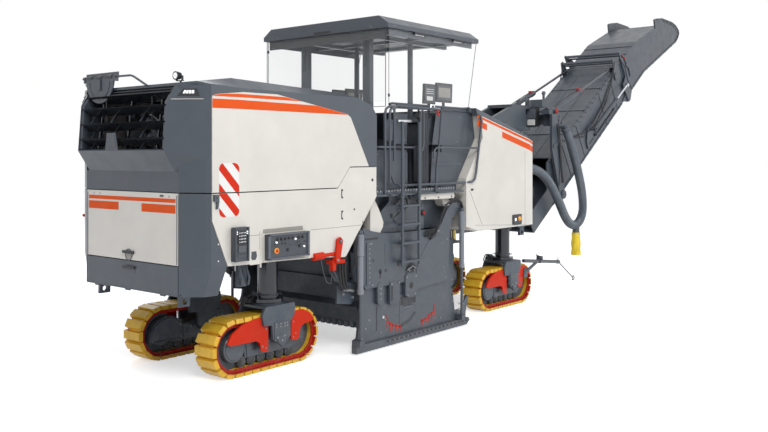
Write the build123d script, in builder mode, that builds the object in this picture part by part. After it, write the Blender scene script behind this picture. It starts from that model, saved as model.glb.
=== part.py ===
from build123d import *
import math
import os

# Cold planer (road milling machine) on four lifting columns and four crawler tracks.
# Millimetres. +X is the working direction (discharge conveyor end), +Y left, +Z up,
# z = 0 is the ground, x = 0 is the middle of the whole length with the conveyor straight ahead.

os.makedirs("parts", exist_ok=True)

# ---------------------------------------------------------------- driving dimensions
drum_length = 2000.0       # working width
side_gear = 250.0          # from the drum's end out to the side planes of the body
half_width = drum_length / 2 + side_gear
panel = 30.0               # thickness of doors, hoods and body panels
joint_gap = 12.0           # gap round each door and hood
tail_x = -7720.0           # rear face of the body
run_clearance = 8.0        # free space beside parts that move

# running gear
column_x_rear = -6253.0
column_x_front = -838.0
column_y = half_width - 560.0
column_radius = 122.0
sleeve_wall = 22.0
sleeve_clearance = 0.5
column_stroke = 380.0
track_length = 1690.0
track_back = 135.0         # track centre sits this far behind its column
wheel_radius = 250.0       # sprocket and idler, over the chain
chain_thickness = 42.0
pad_thickness = 44.0
pad_width = 340.0
pad_edge = 12.0
pad_taper = 0.86
pad_sink = 6.0
pad_count = 30
frame_width = 190.0
fender_thickness = 10.0

# milling unit
drum_x = -3800.0
drum_z = 560.0
drum_tube_radius = 400.0
cut_radius = 510.0
pick_rows = 12
picks_per_row = 9
housing_wall = 30.0
housing_top = 1270.0
housing_rear_x = -4830.0
housing_front_x = -2900.0
side_plate_thickness = 38.0
side_plate_x_rear = -5190.0
side_plate_x_front = -2640.0
side_plate_travel = 380.0
guide_thickness = 34.0

# main frame and body heights
frame_z_low = 1300.0
frame_z_high = 1500.0
girder_y = 560.0
girder_width = 180.0
skirt_z_low = 1035.0
skirt_z_high = 1355.0
seam_z = 2150.0
deck_z = 2030.0
hood_z = 3400.0
hood_front_x = -4860.0
hood_edge_in = 190.0
grille_z_low = 2600.0      # lower lip of the grille opening
grille_half = 820.0
scoop_z = 2370.0           # foot of the scoop that leans out to the lip
scoop_out = 150.0          # how far the lip stands out behind the rear face
front_body_x_rear = -2780.0
front_body_x_front = -905.0
front_body_z_rear = 3180.0
front_body_z_front = 2815.0
front_body_z_low = 1395.0

# canopy
canopy_x_rear = -4570.0
canopy_x_front = -2370.0
canopy_half_width = 1200.0
canopy_z = 4250.0
canopy_depth = 170.0
canopy_drop = 450.0
glass_z_low = 3265.0
glass_thickness = 10.0
post_x = -4270.0
post_y = 600.0
post_width = 170.0
front_post_x = -3210.0
front_post_y = 530.0

# discharge conveyor
slew_x = 800.0
luff_x, luff_z = 1400.0, 1800.0
conveyor_angle = 33.3
head_angle = 24.0
conveyor_half_width = 580.0
conveyor_depth = 800.0
conveyor_wall = 25.0
tail_back = 1160.0         # from the luff pin back to the foot, along the conveyor
fold_ahead = 3764.0        # from the luff pin to the fold pin, along the conveyor
head_straight = 1150.0     # from the fold pin to the knee of the head section
head_length = 2150.0       # from the knee to the discharge end
pin_radius = 30.0
lift_y = 535.0
lift_base_x, lift_base_z = 1245.0, 3385.0
lift_eye_x, lift_eye_z = 3895.0, 4420.0
fold_y = 700.0

# ---------------------------------------------------------------- small builders


def prism_y(points, y_low, y_high, mode=Mode.ADD):
    """Outline of (x, z) points, solid between two y planes, in the part being built."""
    with BuildSketch(Plane.XZ.offset(-y_low)) as outline:
        with BuildLine():
            Polyline(*points, close=True)
        make_face()
    extrude(outline.sketch, amount=-(y_high - y_low), mode=mode)


def prism_x(points, x_low, x_high, mode=Mode.ADD):
    """Outline of (y, z) points, solid between two x planes."""
    with BuildSketch(Plane.YZ.offset(x_low)) as outline:
        with BuildLine():
            Polyline(*points, close=True)
        make_face()
    extrude(outline.sketch, amount=x_high - x_low, mode=mode)


def prism_z(points, z_low, z_high, mode=Mode.ADD):
    """Outline of (x, y) points, solid between two heights."""
    with BuildSketch(Plane.XY.offset(z_low)) as outline:
        with BuildLine():
            Polyline(*points, close=True)
        make_face()
    extrude(outline.sketch, amount=z_high - z_low, mode=mode)


def block(x, y, z, mode=Mode.ADD):
    """Box from three (low, high) pairs."""
    with Locations(((x[0] + x[1]) / 2, (y[0] + y[1]) / 2, (z[0] + z[1]) / 2)):
        Box(x[1] - x[0], y[1] - y[0], z[1] - z[0], mode=mode)


def bar(start, end, radius, mode=Mode.ADD, bore=0.0):
    """Round bar or tube between two points."""
    axis = Vector(*end) - Vector(*start)
    with BuildSketch(Plane(origin=start, z_dir=axis)) as outline:
        Circle(radius)
        if bore:
            Circle(bore, mode=Mode.SUBTRACT)
    extrude(outline.sketch, amount=axis.length, mode=mode)


def disc_y(x, z, radius, y_low, y_high, mode=Mode.ADD):
    """Round disc or hole across the machine."""
    bar((x, y_low, z), (x, y_high, z), radius, mode)


def rail_tube(points, radius, bend=60.0):
    """Bent round tube along a route of points."""
    with BuildLine() as route:
        if len(points) > 2:
            FilletPolyline(*points, radius=bend)
        else:
            Line(*points)
    start = route.line @ 0
    with BuildSketch(Plane(origin=start, z_dir=route.line % 0)) as outline:
        Circle(radius)
    sweep(outline.sketch, path=route.line)


def facet_solid(near, far):
    """Solid with flat faces between two outlines of as many (x, y, z) points."""
    faces = [Face(Wire.make_polygon([Vector(*p) for p in ring], close=True)) for ring in (near, far)]
    count = len(near)
    for k in range(count):
        a, b, c, d = near[k], near[(k + 1) % count], far[(k + 1) % count], far[k]
        for corner_points in ((a, b, c), (a, c, d)):
            p, q, r = [Vector(*point) for point in corner_points]
            if (q - p).cross(r - p).length > 1e-6:
                faces.append(Face(Wire.make_polygon([p, q, r], close=True)))
    return Solid(Shell(faces))


def finish_piece(builder, name):
    builder.part.label = name
    export_step(builder.part, f"parts/{name}.step")


def both(y_low, y_high):
    """The same stretch on the right and on the left of the machine."""
    return ((-y_high, -y_low), (y_low, y_high))


# ---------------------------------------------------------------- running gear
# corner name: (column x, side), side -1 = right, +1 = left
corners = {
    "rear_right": (column_x_rear, -1),
    "rear_left": (column_x_rear, 1),
    "front_right": (column_x_front, -1),
    "front_left": (column_x_front, 1),
}
loop_radius = wheel_radius + chain_thickness + pad_thickness
wheel_z = loop_radius
wheel_span = track_length - 2 * loop_radius
chain_top = wheel_z + wheel_radius + chain_thickness
pad_top = wheel_z + loop_radius
yoke_gap = 14.0
yoke_side = pad_width / 2 + yoke_gap
yoke_plate = 34.0
yoke_top = pad_top + 60.0
flange_z = yoke_top + 45.0
column_top = frame_z_high + 560.0
column_foot = flange_z + run_clearance
swivel_pin_radius = 60.0
swivel_pin_top = column_foot + 150.0
pin_clearance = 0.5


def stadium(x_mid, radius, y_low, y_high, mode=Mode.ADD):
    """Track shaped slab: two half discs joined by straights."""
    with BuildSketch(Plane.XZ.offset(-y_low)) as outline:
        with Locations((x_mid, wheel_z)):
            SlotCenterToCenter(wheel_span, 2 * radius)
    extrude(outline.sketch, amount=-(y_high - y_low), mode=mode)


def loop_place(distance):
    """Point and outward direction on the chain's outer face, walking round the loop."""
    radius = wheel_radius + chain_thickness
    bend = math.pi * radius
    travelled = distance % (2 * wheel_span + 2 * bend)
    if travelled < wheel_span:
        return travelled - wheel_span / 2, radius, 0.0, 1.0
    travelled -= wheel_span
    if travelled < bend:
        turn = travelled / radius
        return (wheel_span / 2 + radius * math.sin(turn), radius * math.cos(turn),
                math.sin(turn), math.cos(turn))
    travelled -= bend
    if travelled < wheel_span:
        return wheel_span / 2 - travelled, -radius, 0.0, -1.0
    turn = (travelled - wheel_span) / radius
    return (-wheel_span / 2 - radius * math.sin(turn), -radius * math.cos(turn),
            -math.sin(turn), -math.cos(turn))


loop_length = 2 * wheel_span + 2 * math.pi * (wheel_radius + chain_thickness)
pad_pitch = loop_length / pad_count
pad_run = pad_pitch * 0.90
chain_half_width = frame_width / 2 + 24.0

with BuildPart() as column_form:
    bar((0, 0, column_foot), (0, 0, column_top), column_radius)
    bar((0, 0, column_foot), (0, 0, column_foot + 40), column_radius + 62)
    bar((0, 0, column_foot - 1), (0, 0, swivel_pin_top + 1), swivel_pin_radius + pin_clearance,
        mode=Mode.SUBTRACT)

# the forms stand at their column: x = 0 is the column's axis, y = 0 the middle of the track
loop_x = -track_back
with BuildPart() as track_form:
    stadium(loop_x, wheel_radius + chain_thickness, -chain_half_width, chain_half_width)
    stadium(loop_x, wheel_radius, -chain_half_width - 1, chain_half_width + 1,
            mode=Mode.SUBTRACT)
    pads = []
    for number in range(pad_count):
        run_x, up, out_x, out_z = loop_place(wheel_span / 2 + (number + 0.5) * pad_pitch)
        spot = Plane(origin=(loop_x + run_x, 0, wheel_z + up), x_dir=(out_z, 0, -out_x),
                     z_dir=(out_x, 0, out_z))
        with BuildSketch(spot.offset(-pad_sink)) as foot:
            Rectangle(pad_run, pad_width)
        with BuildSketch(spot.offset(pad_thickness)) as tread:
            Rectangle(pad_run * pad_taper, pad_width - 2 * pad_edge)
        pads.append(loft([foot.sketch.face(), tread.sketch.face()], mode=Mode.PRIVATE))
    add(pads)

wheel_y = frame_width / 2
frame_low = wheel_z - wheel_radius + 62.0
roller_count = 6
roller_radius = 62.0
rear_wheel_x = loop_x - wheel_span / 2
front_wheel_x = loop_x + wheel_span / 2
cheek_out = yoke_side + yoke_plate
cover_y = (wheel_y + 6.0, wheel_y + 74.0)      # drive cover on the inner side of the track

with BuildPart() as carriage_form:
    for wheel_x in (rear_wheel_x, front_wheel_x):
        disc_y(wheel_x, wheel_z, wheel_radius - 1.0, -wheel_y * 0.55, wheel_y * 0.55)
    disc_y(rear_wheel_x + 10, wheel_z - 10, 160.0, -wheel_y, wheel_y)
    disc_y(front_wheel_x, wheel_z, 90.0, -wheel_y, wheel_y)
    # box frame between the wheels, with its tail round the idler
    prism_y([(rear_wheel_x + 190, frame_low + 40), (front_wheel_x - 60, frame_low + 40),
             (front_wheel_x + 120, wheel_z - 60), (front_wheel_x + 120, wheel_z + 90),
             (front_wheel_x - 20, wheel_z + 160), (front_wheel_x - 260, wheel_z + 165),
             (loop_x - 60, wheel_z + 60), (loop_x - 280, wheel_z + 60),
             (rear_wheel_x + 170, wheel_z + 130)], -wheel_y, wheel_y)
    for number in range(roller_count):
        roller_x = rear_wheel_x + 150 + number * (wheel_span - 260) / (roller_count - 1)
        disc_y(roller_x, frame_low + 4, roller_radius, -wheel_y * 0.9, wheel_y * 0.9)
    # yoke: a plate over the track with two shield-shaped cheeks bolted to the frame
    block((-235, 235), (-cheek_out, cheek_out), (yoke_top, yoke_top + 30))
    for cheek_low, cheek_high in both(yoke_side, cheek_out):
        prism_y([(-235, yoke_top + 30), (-290, yoke_top - 70), (-260, yoke_top - 190),
                 (-130, yoke_top - 200), (-120, wheel_z + 30), (40, wheel_z - 80),
                 (170, wheel_z + 30), (170, yoke_top - 190), (235, yoke_top - 120),
                 (250, yoke_top - 40), (235, yoke_top + 30)], cheek_low, cheek_high)
    disc_y(0, wheel_z + 20, 62.0, -cheek_out, cheek_out)
    bar((0, 0, yoke_top + 10), (0, 0, flange_z), column_radius + 62)
    bar((0, 0, flange_z), (0, 0, swivel_pin_top), swivel_pin_radius)

with BuildPart() as cover_form:
    # drive cover: a D with its flat side down, on the side towards the machine's middle
    with BuildSketch(Plane.XZ.offset(-cover_y[0])) as cover_outline:
        with BuildLine():
            Line((rear_wheel_x - 190, wheel_z - 110), (rear_wheel_x + 330, wheel_z - 110))
            Line((rear_wheel_x + 330, wheel_z - 110), (rear_wheel_x + 330, wheel_z + 30))
            ThreePointArc((rear_wheel_x + 330, wheel_z + 30), (rear_wheel_x + 60, wheel_z + 200),
                          (rear_wheel_x - 190, wheel_z - 40))
            Line((rear_wheel_x - 190, wheel_z - 40), (rear_wheel_x - 190, wheel_z - 110))
        make_face()
    extrude(cover_outline.sketch, amount=-(cover_y[1] - cover_y[0]))
    block((rear_wheel_x - 60, rear_wheel_x + 260), (wheel_y, cover_y[0]), (wheel_z - 80, wheel_z + 80))

for corner, (column_x, side) in corners.items():
    foot_place = (column_x, side * column_y, 0)
    with BuildPart() as column:
        with Locations(foot_place):
            add(column_form.part)
    finish_piece(column, f"column_{corner}")

    with BuildPart() as track:
        with Locations(foot_place):
            add(track_form.part)
    finish_piece(track, f"track_{corner}")

    with BuildPart() as carriage:
        with Locations(foot_place):
            add(carriage_form.part)
            if side < 0:
                add(cover_form.part)
            else:
                add(mirror(cover_form.part, about=Plane.XZ, mode=Mode.PRIVATE))
    finish_piece(carriage, f"carriage_{corner}")

    with BuildPart() as fenders:
        outer = side * (column_y + yoke_side - fender_thickness)
        skin = sorted((outer, side * (column_y + yoke_side)))
        rear_tip = column_x + rear_wheel_x - 140.0
        front_tip = column_x + front_wheel_x + 225.0
        crown = pad_top - 25.0
        rear_root, front_root = column_x - 165.0, column_x + 215.0
        prism_y([(rear_root, crown), (rear_root, 225), (rear_root - 110, 240),
                 (rear_root - 135, 350), (rear_root - 190, 380), (rear_tip + 40, 385),
                 (rear_tip, 420), (rear_tip + 70, 520), (rear_tip + 220, crown - 45),
                 (rear_tip + 400, crown - 8)], *skin)
        prism_y([(front_root, crown), (front_root, 300), (front_root + 90, 285),
                 (front_root + 135, 310), (front_root + 160, 430), (front_root + 220, 465),
                 (front_tip - 20, 480), (front_tip, 520), (front_tip - 60, crown - 55),
                 (front_tip - 180, crown)], *skin)
        # lugs that bolt the fenders to the track frame
        for low, high in ((rear_root - 100, rear_root - 20), (front_root + 20, front_root + 80)):
            block((low, high), sorted((side * (column_y + wheel_y), outer)), (310, 370))
    finish_piece(fenders, f"fenders_{corner}")

# ---------------------------------------------------------------- main frame
sleeve_bore = column_radius + sleeve_clearance
sleeve_radius = sleeve_bore + sleeve_wall
inner_side = half_width - panel
nose_x = -260.0
beam_depth = 70.0
beam_z = (frame_z_high - 105.0, frame_z_high)
tail_beam_x = (tail_x + 100.0, tail_x + 100.0 + beam_depth)
tail_beam_half = inner_side - 220.0
skirt_beam_x = (-6900.0, -5560.0)
side_slot = 8.0
cylinder_mid = half_width - 22.0
cylinder_seat = 40.0       # from the guide plate's face to the cylinders' axis
guide_y = cylinder_mid - cylinder_seat - guide_thickness
side_plate_y = guide_y - side_slot - side_plate_thickness
housing_y = side_plate_y - side_slot
guide_beam_x = (-4640.0, -3290.0)
eye_radius = 32.0
eye_thickness = 40.0
eye_y = column_y + 70.0
front_face_x = -640.0
mast_plate = 60.0
mast_low_z = 3020.0
mast_high_z = 3420.0
mast_half = 260.0
slew_pin_radius = 70.0

with BuildPart() as main_frame:
    for low, high in both(girder_y - girder_width / 2, girder_y + girder_width / 2):
        block((tail_beam_x[0], nose_x), (low, high), (frame_z_low, frame_z_high))
    block(tail_beam_x, (-tail_beam_half, tail_beam_half), beam_z)
    for x in skirt_beam_x:
        block((x, x + beam_depth), (-inner_side, inner_side), beam_z)
    for x in guide_beam_x:
        block((x, x + 120), (-guide_y, guide_y), beam_z)
    block((nose_x - 240, nose_x), (-eye_y - 40, eye_y + 40), (frame_z_low, frame_z_high))
    for column_x, side in corners.values():
        block((column_x - 230, column_x + 230), sorted((0, side * girder_y)), beam_z)
        bar((column_x, side * column_y, frame_z_low), (column_x, side * column_y, column_top - 40),
            sleeve_radius)
    for column_x, side in corners.values():
        bar((column_x, side * column_y, frame_z_low - 1), (column_x, side * column_y, column_top),
            sleeve_bore, mode=Mode.SUBTRACT)
    # loading conveyor passes between the girders at the front
    block((-2900, -1110), (-470, 470), (frame_z_low - 1, frame_z_high + 1), mode=Mode.SUBTRACT)
    # lifting and tie-down eyes, two at each end
    for x, z in ((tail_beam_x[0] + 60, frame_z_low - 345), (nose_x - 80, frame_z_low - 90)):
        for low, high in both(eye_y - eye_thickness / 2, eye_y + eye_thickness / 2):
            prism_y([(x - 70, z - 55), (x + 70, z - 55), (x + 90, frame_z_high - 20),
                     (x - 50, frame_z_high - 20)], low, high)
            disc_y(x, z, eye_radius, low - 1, high + 1, mode=Mode.SUBTRACT)
finish_piece(main_frame, "main_frame")

with BuildPart() as engine_block:
    block((-7250, -5250), (-490, 490), (frame_z_high, 2850))
finish_piece(engine_block, "engine_block")

# ---------------------------------------------------------------- milling unit
housing_top_z = frame_z_low
shaft_radius = 120.0
with BuildPart() as drum_housing:
    for low, high in both(housing_y - housing_wall, housing_y):
        prism_y([(housing_rear_x, housing_top_z), (housing_rear_x, 760), (drum_x - 620, 430),
                 (drum_x + 620, 430), (housing_front_x, 640), (housing_front_x, housing_top_z)],
                low, high)
    block((housing_rear_x, housing_front_x), (-housing_y, housing_y),
          (housing_top_z - housing_wall, housing_top_z))
    block((housing_front_x - housing_wall, housing_front_x), (-housing_y, housing_y),
          (1060, housing_top_z))
    block((housing_rear_x, housing_rear_x + housing_wall), (-housing_y, housing_y),
          (900, housing_top_z))
    disc_y(drum_x, drum_z, shaft_radius + 1, -housing_y - 1, housing_y + 1, mode=Mode.SUBTRACT)
finish_piece(drum_housing, "drum_housing")

pick_length = cut_radius - drum_tube_radius
with BuildPart() as drum:
    disc_y(drum_x, drum_z, drum_tube_radius, -drum_length / 2, drum_length / 2)
    disc_y(drum_x, drum_z, shaft_radius, -housing_y, housing_y)
    picks = []
    for row in range(pick_rows):
        for number in range(picks_per_row):
            side = -1 if number % 2 else 1
            spread = (number + 0.5) / picks_per_row
            turn = 360.0 * (row / pick_rows + side * spread * 0.28)
            y = side * spread * (drum_length / 2 - 40)
            outward = Vector(math.cos(math.radians(turn)), 0, math.sin(math.radians(turn)))
            spot = Plane(origin=Vector(drum_x, y, drum_z) + outward * (drum_tube_radius - 8),
                         x_dir=(0, 1, 0), z_dir=outward)
            with BuildSketch(spot) as foot:
                Rectangle(56, 66)
            with BuildSketch(spot.offset(pick_length + 6)) as tip:
                with Locations((0, 22)):
                    Rectangle(16, 16)
            picks.append(loft([foot.sketch.face(), tip.sketch.face()], mode=Mode.PRIVATE))
    add(picks)
finish_piece(drum, "drum")

ground_gap = 15.0
lug_x_rear = -5160.0
lug_x_front = -2868.0
barrel_radius = 36.0
rod_radius = 20.0
rear_barrel_z = (790.0, 1560.0)
front_barrel_z = (900.0, 1740.0)
side_plate_top = 1000.0
skid_height = 100.0
rod_end_z = 240.0
cap_z = 60.0

guide_profile = [
    (-5060, 1440), (-5250, 1500), (-5230, 1620), (-5180, 1650), (-4880, 1560), (-4600, 1510),
    (-4100, 1500), (-3500, 1500), (-3440, 1500), (-3330, 1560), (-3200, 1740), (-3060, 1850),
    (-2900, 1850), (-2820, 1800), (-2820, 1700), (-2960, 1710), (-3060, 1620), (-3110, 1440),
    (-3130, 1200), (-3170, 730), (-3950, 690), (-4020, 820), (-5010, 820), (-5060, 900),
]
with BuildPart() as guide_plates:
    for low, high in both(guide_y, guide_y + guide_thickness):
        prism_y(guide_profile, low, high)
finish_piece(guide_plates, "guide_plates")

for name, side in (("right", -1), ("left", 1)):
    with BuildPart() as side_plate:
        face = sorted((side * side_plate_y, side * (side_plate_y + side_plate_thickness)))
        prism_y([(side_plate_x_rear, ground_gap), (side_plate_x_front, ground_gap),
                 (side_plate_x_front, 200), (-2560, 430), (-2610, 440), (-2700, 260),
                 (-2930, 250), (-3060, 930), (-3150, side_plate_top), (-4950, side_plate_top),
                 (-5010, 880), (-5120, 200), (side_plate_x_rear, 180)], *face)
        # skid along the lower edge
        skid = sorted((side * (side_plate_y - 4), side * (side_plate_y + side_plate_thickness + 46)))
        prism_y([(side_plate_x_rear, ground_gap), (side_plate_x_front - 40, ground_gap),
                 (side_plate_x_front + 40, ground_gap + 60),
                 (side_plate_x_front, ground_gap + skid_height),
                 (side_plate_x_rear, ground_gap + skid_height)], *skid)
        # lift rods with their foot lugs
        for x, barrel_z in ((lug_x_rear, rear_barrel_z), (lug_x_front, front_barrel_z)):
            bar((x, side * cylinder_mid, rod_end_z - 60),
                (x, side * cylinder_mid, barrel_z[1] - side_plate_travel - cap_z), rod_radius)
            lug = sorted((side * (side_plate_y + side_plate_thickness / 2),
                          side * (cylinder_mid + 34)))
            block((x - 45, x + 45), lug, (rod_end_z - 120, rod_end_z - 50))
    finish_piece(side_plate, f"side_plate_{name}")

with BuildPart() as plate_barrels:
    for side in (-1, 1):
        for x, barrel_z in ((lug_x_rear, rear_barrel_z), (lug_x_front, front_barrel_z)):
            bar((x, side * cylinder_mid, barrel_z[0]), (x, side * cylinder_mid, barrel_z[1]),
                barrel_radius)
            bar((x, side * cylinder_mid, barrel_z[0] - 1), (x, side * cylinder_mid, barrel_z[1] - cap_z),
                rod_radius + 1, mode=Mode.SUBTRACT)
            ear = sorted((side * (guide_y + guide_thickness), side * (cylinder_mid + 20)))
            block((x - 30, x + 30), ear, (barrel_z[1] - 40, barrel_z[1] + 30))
finish_piece(plate_barrels, "plate_barrels")

# scraper blade behind the drum, lifted by two cylinders
blade_gap = 12.0
blade_x = housing_rear_x - blade_gap
tooth_count = 19
blade_half = housing_y - housing_wall - 60.0
blade_top = 900.0
lip_z = (520.0, 620.0)
scraper_travel = 350.0
scraper_rod_x = blade_x - 85.0
scraper_rod_y = 800.0
scraper_barrel_z = (lip_z[1] + scraper_travel + 15.0, 1720.0)
with BuildPart() as scraper:
    prism_y([(blade_x, 330), (blade_x, blade_top), (blade_x - 40, blade_top),
             (blade_x - 40, lip_z[1]), (blade_x - 130, lip_z[1] - 60), (blade_x - 130, lip_z[0]),
             (blade_x - 40, lip_z[0] + 20), (blade_x - 40, 330)], -blade_half, blade_half)
    tooth_pitch = 2 * blade_half / tooth_count
    for number in range(tooth_count):
        y = -blade_half + (number + 0.5) * tooth_pitch
        block((blade_x - 60, blade_x), (y - tooth_pitch * 0.3, y + tooth_pitch * 0.3), (270, 340))
    for y in (-scraper_rod_y, scraper_rod_y):
        bar((scraper_rod_x, y, lip_z[0] + 25),
            (scraper_rod_x, y, scraper_barrel_z[1] - scraper_travel - 30), rod_radius)
finish_piece(scraper, "scraper")

with BuildPart() as scraper_barrels:
    for y in (-scraper_rod_y, scraper_rod_y):
        bar((scraper_rod_x, y, scraper_barrel_z[0]), (scraper_rod_x, y, scraper_barrel_z[1]),
            barrel_radius + 6)
        # bracket to the top of the drum housing, above the raised blade
        block((scraper_rod_x, housing_rear_x), (y - 60, y + 60),
              (blade_top + scraper_travel + 12, housing_top_z))
        bar((scraper_rod_x, y, scraper_barrel_z[0] - 1), (scraper_rod_x, y, scraper_barrel_z[1] - 20),
            rod_radius + 1, mode=Mode.SUBTRACT)
finish_piece(scraper_barrels, "scraper_barrels")

# ---------------------------------------------------------------- body panels
corner_y = half_width - 370.0      # the rear face runs straight out to here, then turns
bend_x, bend_y = tail_x + 140.0, half_width - 100.0
corner_x = tail_x + 180.0  # seam between the grey corner and the side panels
seam_in = 50.0             # the seam stands this far in from the side planes
side_flat_x = tail_x + 520.0
skirt_in = 108.0           # lean of the skirt's foot
skirt_front_x = corner_x + 190.0
skirt_foot_x = corner_x + 160.0


def body_edge(x):
    """Half width of the rear body at x, tapered in towards the seam with the corner."""
    share = min(max((side_flat_x - x) / (side_flat_x - corner_x), 0.0), 1.0)
    return half_width - seam_in * share


def corner_plan(side, lean=0.0, front_x=corner_x):
    """Plan of one rear corner as (x, y): rear face, facet, side, and the same inside."""
    outer = [(tail_x, corner_y), (bend_x, bend_y - lean), (corner_x, body_edge(corner_x) - lean),
             (front_x, body_edge(front_x) - lean)]
    inner = [(front_x, body_edge(front_x) - lean - panel),
             (corner_x, body_edge(corner_x) - lean - panel),
             (bend_x + 12, bend_y - lean - panel), (tail_x + panel, corner_y)]
    if front_x == corner_x:
        outer, inner = outer[:3], inner[1:]
    return [(x, side * y) for x, y in outer + inner]


def side_skins(profile):
    """Both side panels that have this (x, z) profile, following the plan of the body."""
    with BuildPart() as skins:
        for side in (-1, 1):
            plan = [(corner_x, body_edge(corner_x)), (side_flat_x, half_width),
                    (hood_front_x + 100, half_width), (hood_front_x + 100, inner_side),
                    (side_flat_x, inner_side), (corner_x, body_edge(corner_x) - panel)]
            prism_z([(x, side * y) for x, y in plan], skirt_z_low, hood_z)
        prism_y(profile, -half_width - 1, half_width + 1, mode=Mode.INTERSECT)
    add(skins.part)


door_hinge_x = tail_x + panel / 2
door_hinge_z = seam_z - 27.0
flap_hinge_z = skirt_z_low + 18.0
door_pin = 9.0
door_half = corner_y - joint_gap
with BuildPart() as corner_panels:
    for side in (-1, 1):
        prism_z(corner_plan(side, front_x=skirt_front_x), skirt_z_high, seam_z - joint_gap)
        # skirt, leaning in towards its foot
        rings = []
        for z, lean in ((skirt_z_high, 0.0), (skirt_z_low, skirt_in)):
            with BuildSketch(Plane.XY.offset(z)) as ring:
                with BuildLine():
                    Polyline(*corner_plan(side, lean, skirt_front_x), close=True)
                make_face()
            rings.append(ring.sketch.face())
        loft(rings)
    # slanted edge that the white side panel meets
    prism_y([(corner_x, seam_z + 50), (corner_x, 1850), (skirt_front_x, skirt_z_high),
             (skirt_foot_x, skirt_z_low - 1), (skirt_front_x + 50, skirt_z_low - 1),
             (skirt_front_x + 50, seam_z + 50)], -half_width - 1, half_width + 1,
            mode=Mode.SUBTRACT)
    for side in (-1, 1):
        for z in (door_hinge_z, flap_hinge_z):
            socket = sorted((side * (corner_y - 2), side * (corner_y + 24)))
            disc_y(door_hinge_x, z, door_pin + 0.5, *socket, mode=Mode.SUBTRACT)
    # door frame: sill between door and flap, lintel under the hood, brackets to the frame
    door_frame_x = (tail_x + panel + run_clearance, tail_x + panel + run_clearance + 34)
    bracket_z = (beam_z[0], beam_z[0] + 30)
    for z in ((skirt_z_high - 20, bracket_z[1]), (seam_z - 80, seam_z - joint_gap)):
        block(door_frame_x, (-corner_y - 20, corner_y + 20), z)
    for y in (-700, 700):
        block((door_frame_x[1], tail_beam_x[0]), (y - 60, y + 60), bracket_z)
finish_piece(corner_panels, "corner_panels")

with BuildPart() as rear_door:
    block((tail_x, tail_x + panel), (-door_half, door_half),
          (skirt_z_high + joint_gap, seam_z - joint_gap))
    for side in (-1, 1):
        y = side * door_half
        disc_y(door_hinge_x, door_hinge_z, door_pin, y - 20, y + 20)
finish_piece(rear_door, "rear_door")
with BuildPart() as rear_flap:
    block((tail_x, tail_x + panel), (-door_half, door_half),
          (skirt_z_low, skirt_z_high))
    for y in (-door_half, door_half):
        disc_y(door_hinge_x, flap_hinge_z, door_pin, y - 20, y + 20)
finish_piece(rear_flap, "rear_flap")

side_front_x = hood_front_x - 10.0
kink_low_x, kink_high_x = -5610.0, -5385.0
kink_z = 2406.0
with BuildPart() as lower_panels:
    side_skins([(corner_x + joint_gap, 1850), (corner_x + joint_gap, seam_z - joint_gap),
                (kink_low_x, seam_z - joint_gap), (kink_high_x, kink_z - joint_gap),
                (side_front_x, kink_z - joint_gap), (side_front_x, deck_z),
                (-5480, skirt_z_high - 70), (-6100, skirt_z_high - 20),
                (skirt_front_x + joint_gap, skirt_z_high)])
finish_piece(lower_panels, "lower_panels")

# ---------------------------------------------------------------- hood, hinged at its front edge
hinge_x = hood_front_x - 40.0
hinge_z = 3060.0
hinge_pin = 20.0
hinge_y = 820.0
ridge_y = half_width - hood_edge_in
peak_x = -7150.0
grey_edge = [(corner_x + joint_gap, 3182), (-7460, 3200), (-7140, 3236), (-6630, 3238),
             (-5440, 3060), (-5370, 3020), (-5020, kink_z)]
with BuildPart() as hood_sides:
    side_skins([(corner_x + joint_gap, seam_z)] + grey_edge
               + [(kink_high_x, kink_z), (kink_low_x, seam_z)])
finish_piece(hood_sides, "hood_sides")

lug_free = 68.0            # half width of the notch round each hinge
crown_x, crown_z = tail_x + 10.0, 3315.0       # top edge of the grille opening
lip_x, brow_x, brow_z = tail_x - scoop_out, tail_x - scoop_out + 40.0, 3120.0
band_top = [(corner_x, 3182), (corner_x, 3290), (-7010, 3275), (-5270, 3275), (-4980, 3200),
            (hood_front_x, 3060), (hood_front_x, kink_z)]
# roof stations: x, height of the flat middle, height of the sloping edge
stations = [(tail_x + 10, 3325, 3290), (peak_x, hood_z, 3276), (-5270, 3330, 3275),
            (-4960, 3240, 3192), (hood_front_x, 3100, 3060)]
with BuildPart() as hood_roof:
    for start, end in zip(stations[:-1], stations[1:]):
        prism_y([start[:2], end[:2], (end[0], end[1] - panel), (start[0], start[1] - panel)],
                -ridge_y, ridge_y)
        for side in (-1, 1):
            ends = []
            for x, top, low in (start, end):
                with BuildSketch(Plane.YZ.offset(x)) as section:
                    with BuildLine():
                        Polyline((side * ridge_y, top), (side * half_width, low),
                                 (side * half_width, low - panel), (side * ridge_y, top - panel),
                                 close=True)
                    make_face()
                ends.append(section.sketch.face())
            loft(ends)
    half_plan = [(tail_x, corner_y), (bend_x, bend_y), (corner_x, body_edge(corner_x)),
                 (side_flat_x, half_width), (hood_front_x, half_width)]
    prism_z(half_plan + [(x, -y) for x, y in half_plan[::-1]], seam_z, hood_z + 1,
            mode=Mode.INTERSECT)


def cheek(side, inset):
    """Wedge from the grille opening's side edge out to the corner, or its inside."""
    near = [(tail_x, scoop_z), (lip_x, grille_z_low), (brow_x, brow_z), (crown_x, crown_z)]
    far = [(bend_x, scoop_z), (bend_x, 2500), (bend_x, 3140), (bend_x, 3290)]
    rings = []
    for y, edge in ((grille_half + inset, near), (bend_y, far)):
        ring = [(x + inset, z - inset * (0.6 if z > brow_z + 60 else -0.3)) for x, z in edge]
        ring += [(bend_x + 40, ring[3][1]), (bend_x + 40, ring[0][1])]
        rings.append([(x, side * y, z) for x, z in ring])
    return facet_solid(*rings)


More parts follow.
